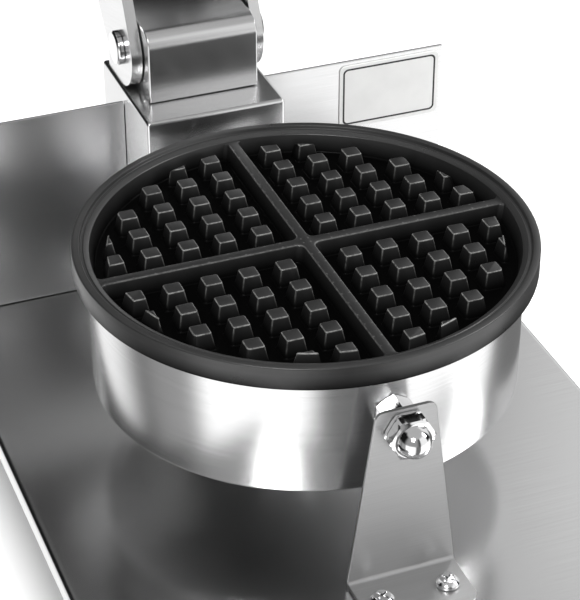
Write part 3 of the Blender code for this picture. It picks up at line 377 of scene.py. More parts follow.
def cut_hexagon(half_across, reach, steps=72):
    """Angles and radii of a hexagon cut down to a circle of the given reach."""
    out = []
    for k in range(steps):
        a = 2 * math.pi * k / steps
        fold = (a + math.pi / 6) % (math.pi / 3) - math.pi / 6
        flat = half_across / math.cos(fold)
        out.append((a + math.pi / 6, min(flat, reach)))
    return out


def hex_levels(across, levels):
    """Rings of a hexagonal bar whose (height, reach) levels cut its corners back to a circle."""
    return [[(r * math.cos(a), r * math.sin(a), z) for a, r in cut_hexagon(across / 2, reach)]
            for z, reach in levels]


def chamfered_hexagon(across, tall, cut, drop):
    """Hexagonal bar with chamfered ends: cut is taken off the corners over the height drop."""
    corner = across / math.sqrt(3)
    return lofted(hex_levels(across, [(0, corner - cut), (drop, corner), (tall - drop, corner),
                                      (tall, corner - cut)]))


def facing(direction, spot):
    """Matrix that sends local +Z to a direction and the local origin to a spot."""
    turn = Vector((0, 0, 1)).rotation_difference(Vector(direction)).to_matrix().to_4x4()
    return Matrix.Translation(spot) @ turn


def middle_and_half(node):
    """Centre of a CAD node's box, and half its size."""
    low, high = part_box(node)
    return (low + high) / 2, (high - low) / 2


def upright(at):
    """Turn about local Z after which a placed piece's local +X points up."""
    up = at.to_3x3().inverted() @ Vector((0, 0, 1))
    return Matrix.Rotation(math.atan2(up.y, up.x), 4, "Z")


def piece(name, shape, look, body, stands_for=(), at=Matrix.Identity(4), sharp=32, soften=0,
          adds=(), cuts=()):
    """Finish a mesh as a piece of the object: shade it, carve it, soften its edges and let it ride."""
    bmesh.ops.recalc_face_normals(shape, faces=shape.faces)
    obj = new_object(name, shape)
    if cuts:
        carve(obj, [("UNION", tool) for tool in adds] + [("DIFFERENCE", tool) for tool in cuts])
    obj.data.materials.append(look)
    obj.data.shade_smooth()
    obj.data.set_sharp_from_angle(angle=math.radians(sharp))
    if soften:
        ease_edges(obj, soften, 30).harden_normals = True
    obj.matrix_world = at
    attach(obj, body)
    if stands_for:
        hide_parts(*stands_for)
    return obj


def ease_edges(obj, width, angle):
    """Bevel the edges that turn by more than an angle in degrees."""
    edge = obj.modifiers.new("edge", "BEVEL")
    edge.width = width
    edge.segments = 2
    edge.limit_method = "ANGLE"
    edge.angle_limit = math.radians(angle)
    return edge


def carve(obj, cuts):
    """Apply exact booleans with shapes given in the object's own space, and drop the cutters."""
    tools = []
    for i, (operation, shape) in enumerate(cuts):
        bmesh.ops.recalc_face_normals(shape, faces=shape.faces)
        tool = new_object(f"{obj.name}_tool_{i}", shape)
        step = obj.modifiers.new(f"cut_{i}", "BOOLEAN")
        step.operation = operation
        step.solver = "EXACT"
        step.object = tool
        tools.append(tool)
    bpy.context.view_layer.update()
    result = bpy.data.meshes.new_from_object(obj.evaluated_get(bpy.context.evaluated_depsgraph_get()))
    obj.modifiers.clear()
    old = obj.data
    obj.data = result
    result.name = obj.name
    bpy.data.meshes.remove(old)
    for tool in tools:
        mesh = tool.data
        bpy.data.objects.remove(tool)
        bpy.data.meshes.remove(mesh)


def new_object(name, shape):
    """Put a shape in the scene as an object, and let the working mesh go."""
    mesh = bpy.data.meshes.new(name)
    shape.to_mesh(mesh)
    shape.free()
    obj = bpy.data.objects.new(name, mesh)
    bpy.context.scene.collection.objects.link(obj)
    return obj


def moved(shape, matrix):
    bmesh.ops.transform(shape, matrix=matrix, verts=shape.verts)
    return shape


def bar(radius, length, direction, spot, steps=40):
    return moved(turned([(0, 0), (radius, 0), (radius, length), (0, length)], steps), facing(direction, spot))


def cross_recess(half_long, half_wide, low, high):
    """Cutters for a crossed driver recess."""
    return [block((-a, -b, low), (a, b, high)) for a, b in ((half_long, half_wide), (half_wide, half_long))]


# --- grid ---
def tapered_levels(half_top, half_base, edge, foot):
    """(half width, height) down a cast stud or divider: rounded top edge, draft, fillet at the floor."""
    levels = []
    for k in range(4):
        a = math.radians(30 * k)
        levels.append((half_top - edge * (1 - math.sin(a)), -edge * (1 - math.cos(a))))
    slope = (half_base - half_top) / GRID_DEPTH
    start = GRID_DEPTH - foot
    levels.append((half_top + slope * start, -start))
    for k in (1, 2, 3):
        a = math.radians(30 * k)
        levels.append((half_top + slope * start + foot * (1 - math.cos(a)), -start - foot * math.sin(a)))
    levels.append((half_base + foot, -GRID_DEPTH - 0.4 * MM))
    return levels


def stud(shape, x, y):
    """One square stud; where it nears the ring its outer side follows the circle."""
    near = math.hypot(abs(x) + STUD_HALF_BASE, abs(y) + STUD_HALF_BASE) > STUD_LIMIT_TOP
    rings = []
    for half, z in tapered_levels(STUD_HALF_TOP, STUD_HALF_BASE, STUD_EDGE, FOOT_FILLET):
        corner = STUD_CORNER_R + (half - STUD_HALF_TOP + STUD_EDGE) * 0.45
        outline = rounded(four_corners(half, half, corner), steps=3)
        if near:
            outline = denser(outline, 5)
        depth = min(1.0, -z / GRID_DEPTH)
        inset = max(0.0, STUD_HALF_TOP - half)
        limit = STUD_LIMIT_TOP + (STUD_LIMIT_BASE - STUD_LIMIT_TOP) * depth - inset
        ring = []
        for u, v in outline:
            spot = Vector((x + u, y + v))
            if near and spot.length > limit:
                spot = spot.normalized() * limit
            ring.append((spot.x, spot.y, z))
        rings.append(ring)
    lofted(rings, shape)


def denser(outline, parts):
    """Split each side of a closed outline into equal parts."""
    out = []
    for i, point in enumerate(outline):
        here, after = Vector(point), Vector(outline[(i + 1) % len(outline)])
        out += [tuple(here.lerp(after, k / parts)) for k in range(parts)]
    return out


def divider_cross(shape):
    """Both dividers as one plus, filleted where they cross and where they run into the ring."""
    flare, crossing_r = 2.2 * MM, 3.2 * MM
    rings = []
    for half, z in tapered_levels(DIVIDER_HALF_TOP, DIVIDER_HALF_BASE, DIVIDER_EDGE, FOOT_FILLET):
        depth = min(1.0, -z / GRID_DEPTH)
        reach = WALL_TOP_R + (WALL_FLOOR_R - WALL_TOP_R) * depth + 0.5 * MM
        quarter = [(reach, half + flare), (reach - flare, half, flare * 0.8), (half, half, crossing_r),
                   (half, reach - flare, flare * 0.8), (half + flare, reach)]
        outline = rounded(quarter, closed=False, steps=5)
        ring = []
        for c, s in ((1, 0), (0, 1), (-1, 0), (0, -1)):
            ring += [(x * c - y * s, x * s + y * c, z) for x, y in outline]
        rings.append(ring)
    lofted(rings, shape)


def make_grid(word, body, at):
    """Rim ring with its groove and floor in one turning, and the studs and dividers on the floor."""
    profile = rounded([
        (0, -GRID_DEPTH), (WALL_FLOOR_R, -GRID_DEPTH, 1.0 * MM), (WALL_TOP_R, 0.5 * MM, 0.7 * MM),
        (91.3 * MM, 1.7 * MM, 0.3 * MM), (91.6 * MM, 1.3 * MM, 0.2 * MM), (92.6 * MM, 1.3 * MM, 0.3 * MM),
        (93.0 * MM, RIM_RISE, 0.35 * MM), (RING_R, RIM_RISE, 0.7 * MM), (RING_R, -RING_DEPTH, 0.5 * MM),
        (GRID_BACK_R, -RING_DEPTH), (GRID_BACK_R, -GRID_BACK), (3.3 * MM, -GRID_BACK), (3.3 * MM, -11 * MM),
        (0, -11 * MM)])
    shape = turned(profile, ROUND_STEPS)
    for i, count in enumerate(STUD_ROWS):
        for j in range(count):
            for sx in (-1, 1):
                for sy in (-1, 1):
                    stud(shape, sx * (STUD_FIRST + i * PITCH), sy * (STUD_FIRST + j * PITCH))
    divider_cross(shape)
    piece(f"{word}_cast_grid", shape, COATING, body, [f"{word}_grid"], at, sharp=50)


# --- drum casings ---
def make_casing(word, body, at):
    """Spun drum side and floor, and the slotted bolt that ties the drum's inner pieces to it."""
    wall = mm([(89.0, -7.5, 0.3), (89.0, -59.6, 0.6), (3.6, -59.6), (3.6, -60.8), (90.2, -60.8, 1.6),
               (90.2, -7.5, 0.4)])
    drum = turned(rounded(wall), ROUND_STEPS)
    piece(f"{word}_spun_casing", drum, STEEL_ROUND, body, [f"{word}_casing"], at)
    bolt = mm([(0, -64.4), (4.2, -64.4, 1.0), (6.0, -63.2, 0.5), (6.0, -61.1, 0.2), (3.0, -61.1),
               (3.0, -11.6), (0, -11.6)])
    slot = block(*mm([(-4.6, -0.6, -66), (4.6, 0.6, -63.4)]))
    piece(f"{word}_tie_screw", turned(rounded(bolt), 48), CHROME, body, [f"{word}_tie_bolt"], at,
          cuts=[slot])


# --- base ---
def make_base_plate():
    """Pan folded down on all sides: the skin runs from the underside, round the hem, to the top."""
    middle, half = middle_and_half("base_plate")
    foot, top = middle.z - half.z, middle.z + half.z
    fold, corner, hem = 2.6 * MM, 6.0 * MM, 0.3 * MM
    inner_fold = fold - SHEET
    turns = [math.radians(90 - 22.5 * k) for k in range(5)]
    levels = [(SHEET + inner_fold * (1 - math.cos(a)), top - fold + inner_fold * math.sin(a)) for a in turns]
    levels += [(SHEET, foot + hem), (SHEET - hem, foot), (hem, foot), (0, foot + hem)]
    turns = [math.radians(15 * k) for k in range(7)]
    levels += [(fold * (1 - math.cos(a)), top - fold + fold * math.sin(a)) for a in turns]
    skin = stacked([(half.x - inset, half.y - inset, corner - inset, z) for inset, z in levels], middle)
    piece("folded_base_plate", skin, STEEL_PLATE, "base", ["base_plate"])


def sheet_edges(node, soften, look):
    """Keep a CAD node, with its sharp edges eased and its own finish."""
    obj = frame["nodes"][node]
    obj.data.materials.clear()
    obj.data.materials.append(look)
    obj.modifiers.new("weld", "WELD").merge_threshold = 0.01 * MM
    ease_edges(obj, soften, 40)


def make_back_panels():
    """Upright sheets, each folded back along its foot into a flange that lies on the plate."""
    for side in ("left", "right"):
        low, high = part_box(f"back_panel_{side}")
        outline = rounded([(low.y, low.z, 0.9 * MM), (high.y, low.z), (high.y, low.z + SHEET),
                           (low.y + SHEET, low.z + SHEET, 0.7 * MM), (low.y + SHEET, high.z, 0.4 * MM),
                           (low.y, high.z, 0.6 * MM)])
        piece(f"back_sheet_{side}", prism(outline, "YZ", low.x, high.x), STEEL_X, "base",
              [f"back_panel_{side}"], soften=0.35 * MM)


def make_tower():
    """Folded column with rounded edges, built as one skin outside and in, open below."""
    middle, half = middle_and_half("hinge_tower")
    foot, top = middle.z - half.z, middle.z + half.z
    fold, inner_fold, inner_corner = 1.7 * MM, 0.5 * MM, 0.7 * MM
    turns = [math.radians(90 - 30 * k) for k in range(4)]
    levels = [(SHEET + inner_fold * (1 - math.cos(a)), inner_corner,
               top - SHEET - inner_fold * (1 - math.sin(a))) for a in turns]
    levels += [(SHEET, inner_corner, foot), (0, fold, foot)]
    turns = [math.radians(18 * k) for k in range(6)]
    levels += [(fold * (1 - math.cos(a)), max(fold * math.cos(a), 0.1 * MM), top - fold + fold * math.sin(a))
               for a in turns]
    skin = stacked([(half.x - inset, half.y - inset, corner, z) for inset, corner, z in levels], middle, 5)
    piece("tower_column", skin, STEEL_X, "base", ["hinge_tower"])


def make_hinge_block():
    """Hollow block on the tower, open below and bored for the pin, with the pin and its cap."""
    low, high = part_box("hinge_block")
    wall, edge_r, hollow_r, below = 3.0 * MM, 8.0 * MM, 5 * MM, low.z - 5 * MM
    front, back, roof = low.y + wall, high.y - wall, high.z - wall
    outline = rounded([(low.y, low.z), (high.y, low.z), (high.y, high.z, edge_r), (low.y, high.z, edge_r)],
                      steps=8)
    hollow = rounded([(front, below), (back, below), (back, roof, hollow_r), (front, roof, hollow_r)],
                     steps=8)
    bore = bar(PIN_BORE_R, 80 * MM, (1, 0, 0), HINGE_AT - Vector((40 * MM, 0, 0)))
    piece("hinge_housing", prism(outline, "YZ", low.x, high.x), STEEL_X, "base", ["hinge_block"],
          soften=0.9 * MM, cuts=[prism(hollow, "YZ", low.x + wall, high.x - wall), bore])
    low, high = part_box("hinge_pin")
    long = high.x - low.x
    shaft = mm([(0, 0), (7.0, 0, 0.6), (8.0, 0.9, 0.6), (8.0, 3.0), (5.0, 3.0)])
    shaft += [(5.0 * MM, long, 0.5 * MM), (0, long)]
    piece("hinge_shaft", turned(rounded(shaft), 64), CHROME, "base", ["hinge_pin"],
          facing((1, 0, 0), (low.x, HINGE_AT.y, HINGE_AT.z)))
    cap = mm([(5.3, 0), (8.0, 0, 0.3), (8.0, 2.9, 0.9), (6.8, 4.0, 0.6), (0, 4.0), (0, 2.9), (5.3, 2.9)])
    piece("hinge_shaft_cap", turned(rounded(cap), 64), CHROME, "base", ["hinge_pin_cap"],
          facing((1, 0, 0), (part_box("hinge_pin_cap")[0].x, HINGE_AT.y, HINGE_AT.z)))


def make_label():
    """White plate with a rounded printed outline and a blank field."""
    middle, half = middle_and_half("label_plate")
    at = Matrix.Translation(middle - Vector((0, half.y, 0))) @ FACE_FRONT
    ease = 0.12 * MM
    plate = stacked([(half.x, half.z, 3 * MM, -2 * half.y), (half.x, half.z, 3 * MM, -0.15 * MM),
                     (half.x - ease, half.z - ease, 2.9 * MM, -0.02 * MM)], steps=8)
    piece("rating_plate", plate, WHITE, "base", ["label_plate"], at)
    edge, width = 1.7 * MM, 0.9 * MM
    outer = round_rect(half.x - edge, half.z - edge, 2.6 * MM, 0, steps=8)
    inner = round_rect(half.x - edge - width, half.z - edge - width, 1.9 * MM, 0, steps=8)
    outline = bmesh.new()
    rows = [[outline.verts.new((x, y, z)) for x, y, _ in ring]
            for ring, z in ((outer, -0.05 * MM), (outer, 0.0), (inner, 0.0), (inner, -0.05 * MM))]
    for a, near in enumerate(rows):
        far = rows[(a + 1) % len(rows)]
        for i in range(len(near)):
            j = (i + 1) % len(near)
            outline.faces.new((near[i], near[j], far[j], far[i]))
    piece("rating_plate_outline", outline, PRINT, "base", (), at)


# --- front support ---
def make_bracket():
    """Tapered flat bar folded forward into a foot: slices of the bar follow the fold."""
    low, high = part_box("front_bracket")
    bend, edge, toe = 2.6 * MM, 0.25 * MM, 5.0 * MM
    half_sheet = SHEET / 2
    upright_y = AXIS_Y - 103.5 * MM + half_sheet           # middle of the sheet's thickness
    half_top, half_foot, corner = 12.4 * MM, 23.4 * MM, 3.6 * MM
    rise = high.z - low.z - half_sheet - bend
    run = upright_y - bend - low.y
    arc = bend * math.pi / 2
    rings = []

    def half_width(v):
        return half_top + (half_foot - half_top) * min(1.0, v / (high.z - low.z))

    def slice_at(v, width):
        """Add the section at a distance v down the sheet from its top edge."""
        if v <= rise:
            centre, normal = Vector((0, upright_y, high.z - v)), Vector((0, 1, 0))
        elif v <= rise + arc:
            a = (v - rise) / bend
            normal = Vector((0, math.cos(a), -math.sin(a)))
            centre = Vector((0, upright_y - bend, low.z + half_sheet + bend)) + normal * bend
        else:
            centre = Vector((0, upright_y - bend - (v - rise - arc), low.z + half_sheet))
            normal = Vector((0, 0, -1))
        points = []
        for x, n in ((-1, -1), (1, -1), (1, 1), (-1, 1)):
            trims = ((0, edge), (edge, 0)) if x * n > 0 else ((edge, 0), (0, edge))
            for dx, dn in trims:
                points.append(centre + Vector((x * (width - dx), 0, 0)) + normal * (n * (half_sheet - dn)))
        rings.append(points)

    for k in range(8, 0, -1):
        a = math.radians(8 + 82 * k / 8)
        slice_at(corner * (1 - math.sin(a)), half_width(corner) - corner + corner * math.cos(a))
    for k in range(1, 5):
        v = corner + (rise - corner) * k / 4
        slice_at(v, half_width(v))
    foot_half = half_width(rise)
    for k in range(1, 9):
        slice_at(rise + arc * k / 8, foot_half)
    toe_start = rise + arc + run - toe
    slice_at(toe_start, foot_half)
    for k in range(1, 8):
        a = math.radians(90 * k / 8)
        slice_at(toe_start + toe * math.sin(a), foot_half - toe + toe * math.cos(a))
    piece("support_bracket", lofted(rings), STEEL_DULL, "base", ["front_bracket"], sharp=40)


def make_nuts():
    """Spacer, lock nut and dome nut on the front stud, each drawn outwards from its rear face."""
    across, spacer_across = 17.0 * MM, 14.0 * MM
    corner = across / math.sqrt(3)

    def place(node):
        low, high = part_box(node)
        return high.y - low.y, facing((0, -1, 0), (0, high.y, BOLT_Z))

    tall, at = place("front_lock_nut")
    piece("support_lock_nut", chamfered_hexagon(across, tall, 0.9 * MM, 0.45 * MM), CHROME, "base",
          ["front_lock_nut"], at, sharp=20)
    tall, at = place("front_dome_nut")
    dome_r, hex_tall = 6.9 * MM, 5.2 * MM
    rings = hex_levels(across, [
        (0, corner - 0.9 * MM), (0.45 * MM, corner), (hex_tall - 1.0 * MM, corner),
        (hex_tall - 0.5 * MM, corner - 0.9 * MM), (hex_tall, corner - 1.9 * MM),
        (hex_tall + 0.02 * MM, dome_r + 0.5 * MM)])
    dome = [(hex_tall + 0.15 * MM, dome_r + 0.1 * MM)]
    for k in range(10):
        a = math.radians(9.5 * k)
        dome.append((hex_tall + 0.4 * MM + dome_r * math.sin(a), dome_r * math.cos(a)))
    steps = len(rings[0])
    turns = [2 * math.pi * k / steps + math.pi / 6 for k in range(steps)]
    rings += [[(r * math.cos(t), r * math.sin(t), z) for t in turns] for z, r in dome]
    piece("support_dome_nut", lofted(rings), CHROME, "base", ["front_dome_nut"], at, sharp=24)
    long, at = place("front_spacer")
    corner_up = Matrix.Rotation(math.radians(30), 4, "Z")
    piece("support_spacer", chamfered_hexagon(spacer_across, long, 0.7 * MM, 0.4 * MM), CHROME, "base",
          ["front_spacer"], at @ corner_up, sharp=20)


def make_screw(name, node, body, at, head_r, shank=8 * MM):
    """Pan-head screw with a crossed recess; local +Z points out of the head."""
    head = SCREW_HEAD
    profile = rounded([(0, -shank), (2.5 * MM, -shank), (2.5 * MM, 0), (head_r, 0, 0.2 * MM),
                       (head_r, head * 0.5, 0.8 * MM), (head_r * 0.7, head * 0.93, 1.0 * MM), (0, head)])
    piece(name, turned(profile, 40), CHROME, body, [node], at,
          cuts=cross_recess(head_r * 0.55, 0.45 * MM, head * 0.45, head * 1.2))


def make_support():
    """Front bracket with its nuts and screws, and the tube and collar between the drum and the tower."""
    make_bracket()
    make_nuts()
    for side in ("left", "right"):
        middle, half = middle_and_half(f"bracket_screw_{side}")
        at = Matrix.Translation(middle + Vector((0, 0, half.z - SCREW_HEAD)))
        make_screw(f"foot_screw_{side}", f"bracket_screw_{side}", "base", at @ Matrix.Rotation(0.6, 4, "Z"),
                   4.8 * MM, 4.5 * MM)
    low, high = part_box("rear_support_tube")
    inner, outer, collar = 4.8 * MM, 6.4 * MM, 12 * MM
    near, far = low.y - AXIS_Y, high.y - AXIS_Y
    collar_low, collar_high = 91.0 * MM, TOWER_LOW.y - AXIS_Y - GAP
    profile = rounded([(inner, near), (outer, near), (outer, collar_low), (collar, collar_low, 0.8 * MM),
                       (collar, collar_high, 0.8 * MM), (outer, collar_high), (outer, far), (inner, far)])
    piece("rear_support", turned(profile, 64), STEEL_ROUND, "base", ["rear_support_tube"],
          facing((0, 1, 0), (0, AXIS_Y, BOLT_Z)))


# --- controls ---
def make_knob(node, body, marks, sweep):
    """Fluted knob with a raised pointer, and a scale of marks printed on the panel round it."""
    middle, half = middle_and_half(node)
    joint = next(j for j in frame["joints"] if j["child"] == body)
    radius, length = half.x, 15.0
    at = facing((0, -1, 0), (middle.x, PANEL_Y - 1.0 * MM, joint["pos_m"][2]))
    steps, flutes, flute_depth = 240, 30, 0.35 * MM
    rings = []
    for flute, inset, height in (                          # the flutes' share, then millimetres
            (0.0, 0.25, 0.0), (0.0, 0.0, 0.25), (0.0, 0.0, 2.6), (0.0, 0.4, 3.0), (1.0, 1.5, 3.3),
            (1.0, 2.0, 8), (1.0, 2.4, 13.2), (0.7, 2.9, 14.2), (0.2, 3.7, 14.8), (0.0, 4.6, length),
            (0.0, 5.2, length - 0.35), (0.0, 11, length - 0.35)):
        ring = []
        for k in range(steps):
            a = 2 * math.pi * k / steps
            r = radius - inset * MM - flute * flute_depth * (0.5 - 0.5 * math.cos(flutes * a))
            ring.append((r * math.cos(a), r * math.sin(a), height * MM))
        rings.append(ring)
    piece(f"{node}_grip", lofted(rings), PLASTIC, body, [node], at, sharp=40)
    at = at @ upright(at)
    out = (7.6 * MM, 0)                                    # middle of the pointer
    ridge = mm([(3.4 - i, 1.5 - i, 1.0, h) for i, h in ((0, 7), (0, 16.3), (0.25, 16.8), (0.6, 16.93))])
    piece(f"{node}_pointer", stacked(ridge, out, 4), PLASTIC, body, (), at, sharp=40)
    line = mm([(2.4, 0.45, 0.3, h) for h in (16.6, 16.99)])
    piece(f"{node}_pointer_line", stacked(line, out, 3), WHITE, body, (), at)
    scale = bmesh.new()
    for k in range(marks):
        tick = Matrix.Rotation(-sweep * k / (marks - 1), 4, "Z")
        long = 1.6 * MM if k % 2 == 0 else 1.0 * MM
        rings = [round_rect(long, 0.3 * MM, 0.2 * MM, h, (radius + 2.6 * MM, 0), 2)
                 for h in (-0.98 * MM, -0.92 * MM)]
        lofted([[tuple(tick @ Vector(p)) for p in ring] for ring in rings], scale)
    piece(f"{node}_scale", scale, PRINT, "base", (), at)


def make_lamp(node, look):
    """Signal lamp: a bright bezel round a stepped, domed lens."""
    middle, half = middle_and_half(node)
    at = facing((0, -1, 0), (middle.x, PANEL_Y, middle.z))
    radius = half.x
    bezel = rounded([(radius - 1.9 * MM, GAP), (radius, GAP, 0.2 * MM), (radius, 1.3 * MM, 0.5 * MM),
                     (radius - 1.2 * MM, 2.0 * MM, 0.5 * MM), (radius - 1.9 * MM, 1.7 * MM, 0.2 * MM)])
    piece(f"{node}_bezel", turned(bezel, 64), CHROME, "base", (), at)
    lens_r = radius - 2.0 * MM
    lens = rounded([(0, -13.5 * MM), (lens_r - 0.4 * MM, -13.5 * MM), (lens_r, -0.2 * MM),
                    (lens_r, 2.3 * MM, 0.6 * MM), (lens_r * 0.72, 3.6 * MM, 0.5 * MM),
                    (lens_r * 0.45, 3.3 * MM, 0.3 * MM), (lens_r * 0.25, 4.3 * MM, 0.3 * MM), (0, 4.4 * MM)])
    piece(f"{node}_lens", turned(lens, 64), look, "base", [node], at)


def make_rocker():
    """Switch housing with its frame on the panel, and the rocker that tilts in it."""
    middle, half = middle_and_half("rocker_housing")
    at = Matrix.Translation((middle.x, PANEL_Y, middle.z)) @ FACE_FRONT
    face = PANEL_Y - middle.y + half.y
    well, shell = mm([(8.3, 6.0, 0.8), (9.9, 7.4, 0.5)])
    rim = (half.x, half.z, 2.0 * MM)
    levels = [(*well, -8.8 * MM), (*well, face - 0.5 * MM), (8.8 * MM, 6.5 * MM, 1.0 * MM, face),
              (half.x - 0.8 * MM, half.z - 0.8 * MM, 1.6 * MM, face),
              (half.x - 0.2 * MM, half.z - 0.2 * MM, 1.9 * MM, face - 0.35 * MM),
              (*rim, face - 0.9 * MM), (*rim, GAP), (*shell, GAP), (*shell, -17.8 * MM)]
    piece("rocker_bezel", stacked(levels, steps=4), PLASTIC, "base", ["rocker_housing"], at)
    pivot = Vector(next(j for j in frame["joints"] if j["name"] == "rocker_tilt")["pos_m"])
    outline = rounded([(1.5, -4.0, 0.4), (-6.0, -4.7, 0.9), (-5.2, 0.0, 6.0), (-8.0, 4.7, 0.9),
                       (1.5, 4.0, 0.4), (3.4, 0.0, 0.8)], steps=8)
    outline = [(pivot.y + y * MM, pivot.z + up * MM) for y, up in outline]
    half = 7.9 * MM
    piece("rocker_paddle", prism(outline, "YZ", pivot.x - half, pivot.x + half), PLASTIC, "switch_rocker",
          ["power_rocker"], soften=0.4 * MM)


def make_feet():
    """Moulded feet, hollow round the washer of the screw that holds each one."""
    for end in ("front", "rear"):
        for side in ("left", "right"):
            node = f"foot_{end}_{side}"
            middle, half = middle_and_half(node)
            at = Matrix.Translation((middle.x, middle.y, 0))
            top = 2 * half.z / MM
            bumper = mm([(5.0, 3.6), (5.0, 0, 0.5), (11.3, 0, 1.1), (12.6, 3.0, 0.8), (13.2, 7.6),
                         (12.8, 8.0, 0.2), (12.8, 8.6, 0.2), (13.4, 9.0), (14.0, top, 0.5), (0, top),
                         (0, 3.6)])
            piece(f"{node}_bumper", turned(rounded(bumper), 72), RUBBER, "base", [node], at)
            washer = mm([(0, 1.2), (2.6, 1.2, 0.5), (3.4, 2.8), (4.7, 2.8, 0.2), (4.7, 3.5), (0, 3.5)])
            piece(f"{node}_washer", turned(rounded(washer), 48), CHROME, "base", (), at)


# --- rear ---
def make_rear():
    """Rear cover with its six screws, and the appliance inlet with three blades."""
    sheet_edges("rear_cover", 0.5 * MM, STEEL_X)
    low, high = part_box("rear_cover")
    head = mm([(0, -1.0), (1.6, -1.0), (1.6, 0), (3.4, 0, 0.1), (3.3, 0.7, 0.4), (2.2, 1.5, 0.8), (0, 1.7)])
    for i, x in enumerate((-0.46, 0.0, 0.46)):
        for j, z in enumerate((low.z + 9 * MM, low.z + 49 * MM)):
            at = facing((0, 1, 0), (x * (high.x - low.x), high.y + 0.05 * MM, z))
            piece(f"cover_screw_{i}_{j}", turned(rounded(head), 32), CHROME, "base", (), at,
                  cuts=cross_recess(1.9 * MM, 0.35 * MM, 0.9 * MM, 2 * MM))
    middle, half = middle_and_half("power_inlet")
    at = facing((0, 1, 0), (middle.x, middle.y + half.y, middle.z))
    at = at @ upright(at) @ Matrix.Rotation(-math.pi / 2, 4, "Z")
    socket, flange, shell = (11.5, 7.5, 2.5), (16, 12.5, 2.5), (13.5, 10, 1.5)
    levels = mm([(*socket, -14.3), (*socket, -0.5), (12.0, 8.0, 2.8, 0), (15.4, 11.9, 2.2, 0),
                 (15.8, 12.3, 2.4, -0.2), (*flange, -0.6), (*flange, -2.0), (*shell, -2.0), (*shell, -18.3)])
    piece("inlet_housing", stacked(levels), PLASTIC, "base", ["power_inlet"], at)
    for i, (dx, dz) in enumerate(mm([(-7, -1), (0, 1.5), (7, -1)])):
        blade = mm([(1.0 - k, 2.2 - k, 0.3, h) for k, h in ((0, -14.5), (0, -4.8), (0.4, -4.2))])
        piece(f"inlet_blade_{i}", stacked(blade, (dx, dz), 2), CHROME, "base", (), at)


# --- lid arms and handle ---
def make_yoke():
    """Saddle wrapped on the casing and two profiled arms, drawn with the lid shut from the drum axis."""
    hinge_y, hinge_z = HINGE_AT.y - AXIS_Y, HINGE_AT.z - GRID_Z
    casing_r, sheet = 90.5 * MM, 4.0 * MM
    inner_x, outer_x = 26.6 * MM, 31.6 * MM
    rest_on = TOWER_HIGH.z - HINGE_AT.z + GAP              # the heels' level under the pin, lid open
    heel, boss = 19 * MM, abs(rest_on) - GAP

    def opened(y, z, *radius):
        c, s = math.cos(LID_OPEN), math.sin(LID_OPEN)
        return (y * c - z * s, y * s + z * c, *radius)

    turns = [math.radians(a) for a in range(-100, 11, 5)]
    arm = [(boss * math.cos(a), boss * math.sin(a)) for a in turns]
    arm += [opened(0.0, rest_on), opened(heel, rest_on, 1.5 * MM), opened(heel, -7 * MM, 4 * MM)]
    seat = casing_r - hinge_y - 1.7 * MM
    arm += [(-18 * MM, 30 * MM, 8 * MM), (seat, 35 * MM), (seat, -5 * MM)]
    arm = [(hinge_y + y, hinge_z + z) for y, z in rounded(arm)]
    start = math.pi / 2 - math.asin(outer_x / casing_r) + math.radians(1.0)
    turns = [start + (math.pi - 2 * start) * k / 24 for k in range(25)]
    saddle = [((casing_r + sheet) * math.cos(a), (casing_r + sheet) * math.sin(a)) for a in turns]
    saddle += [(casing_r * math.cos(a), casing_r * math.sin(a)) for a in reversed(turns)]
    low, high = hinge_z - 6 * MM, hinge_z + 37 * MM
    past = 5 * MM                                          # how far the cutters run past what they cut
    drum = [(0, low - past), (casing_r, low - past), (casing_r, high + past), (0, high + past)]
    bore = bar(PIN_BORE_R, 2 * (outer_x + past), (1, 0, 0), (-outer_x - past, hinge_y, hinge_z))
    screw_x, screw_z, head_r = 13 * MM, hinge_z + 16 * MM, 4.5 * MM
    holes = [bar(2.8 * MM, 20 * MM, (0, 1, 0), (x, 80 * MM, screw_z)) for x in (-screw_x, screw_x)]
    piece("lid_arms", prism(saddle, "XY", low, high), STEEL_Z, "lid", ["lid_yoke"], LID_SHUT, soften=0.5 * MM,
          adds=[prism(arm, "YZ", -outer_x, -inner_x), prism(arm, "YZ", inner_x, outer_x)],
          cuts=[turned(drum, ROUND_STEPS), bore, *holes])
    for side, x in (("left", -screw_x), ("right", screw_x)):
        seat = math.sqrt((casing_r + sheet) ** 2 - (abs(x) - head_r) ** 2)
        make_screw(f"arm_screw_{side}", f"yoke_screw_{side}", "lid",
                   LID_SHUT @ facing((0, 1, 0), (x, seat, screw_z)), head_r)


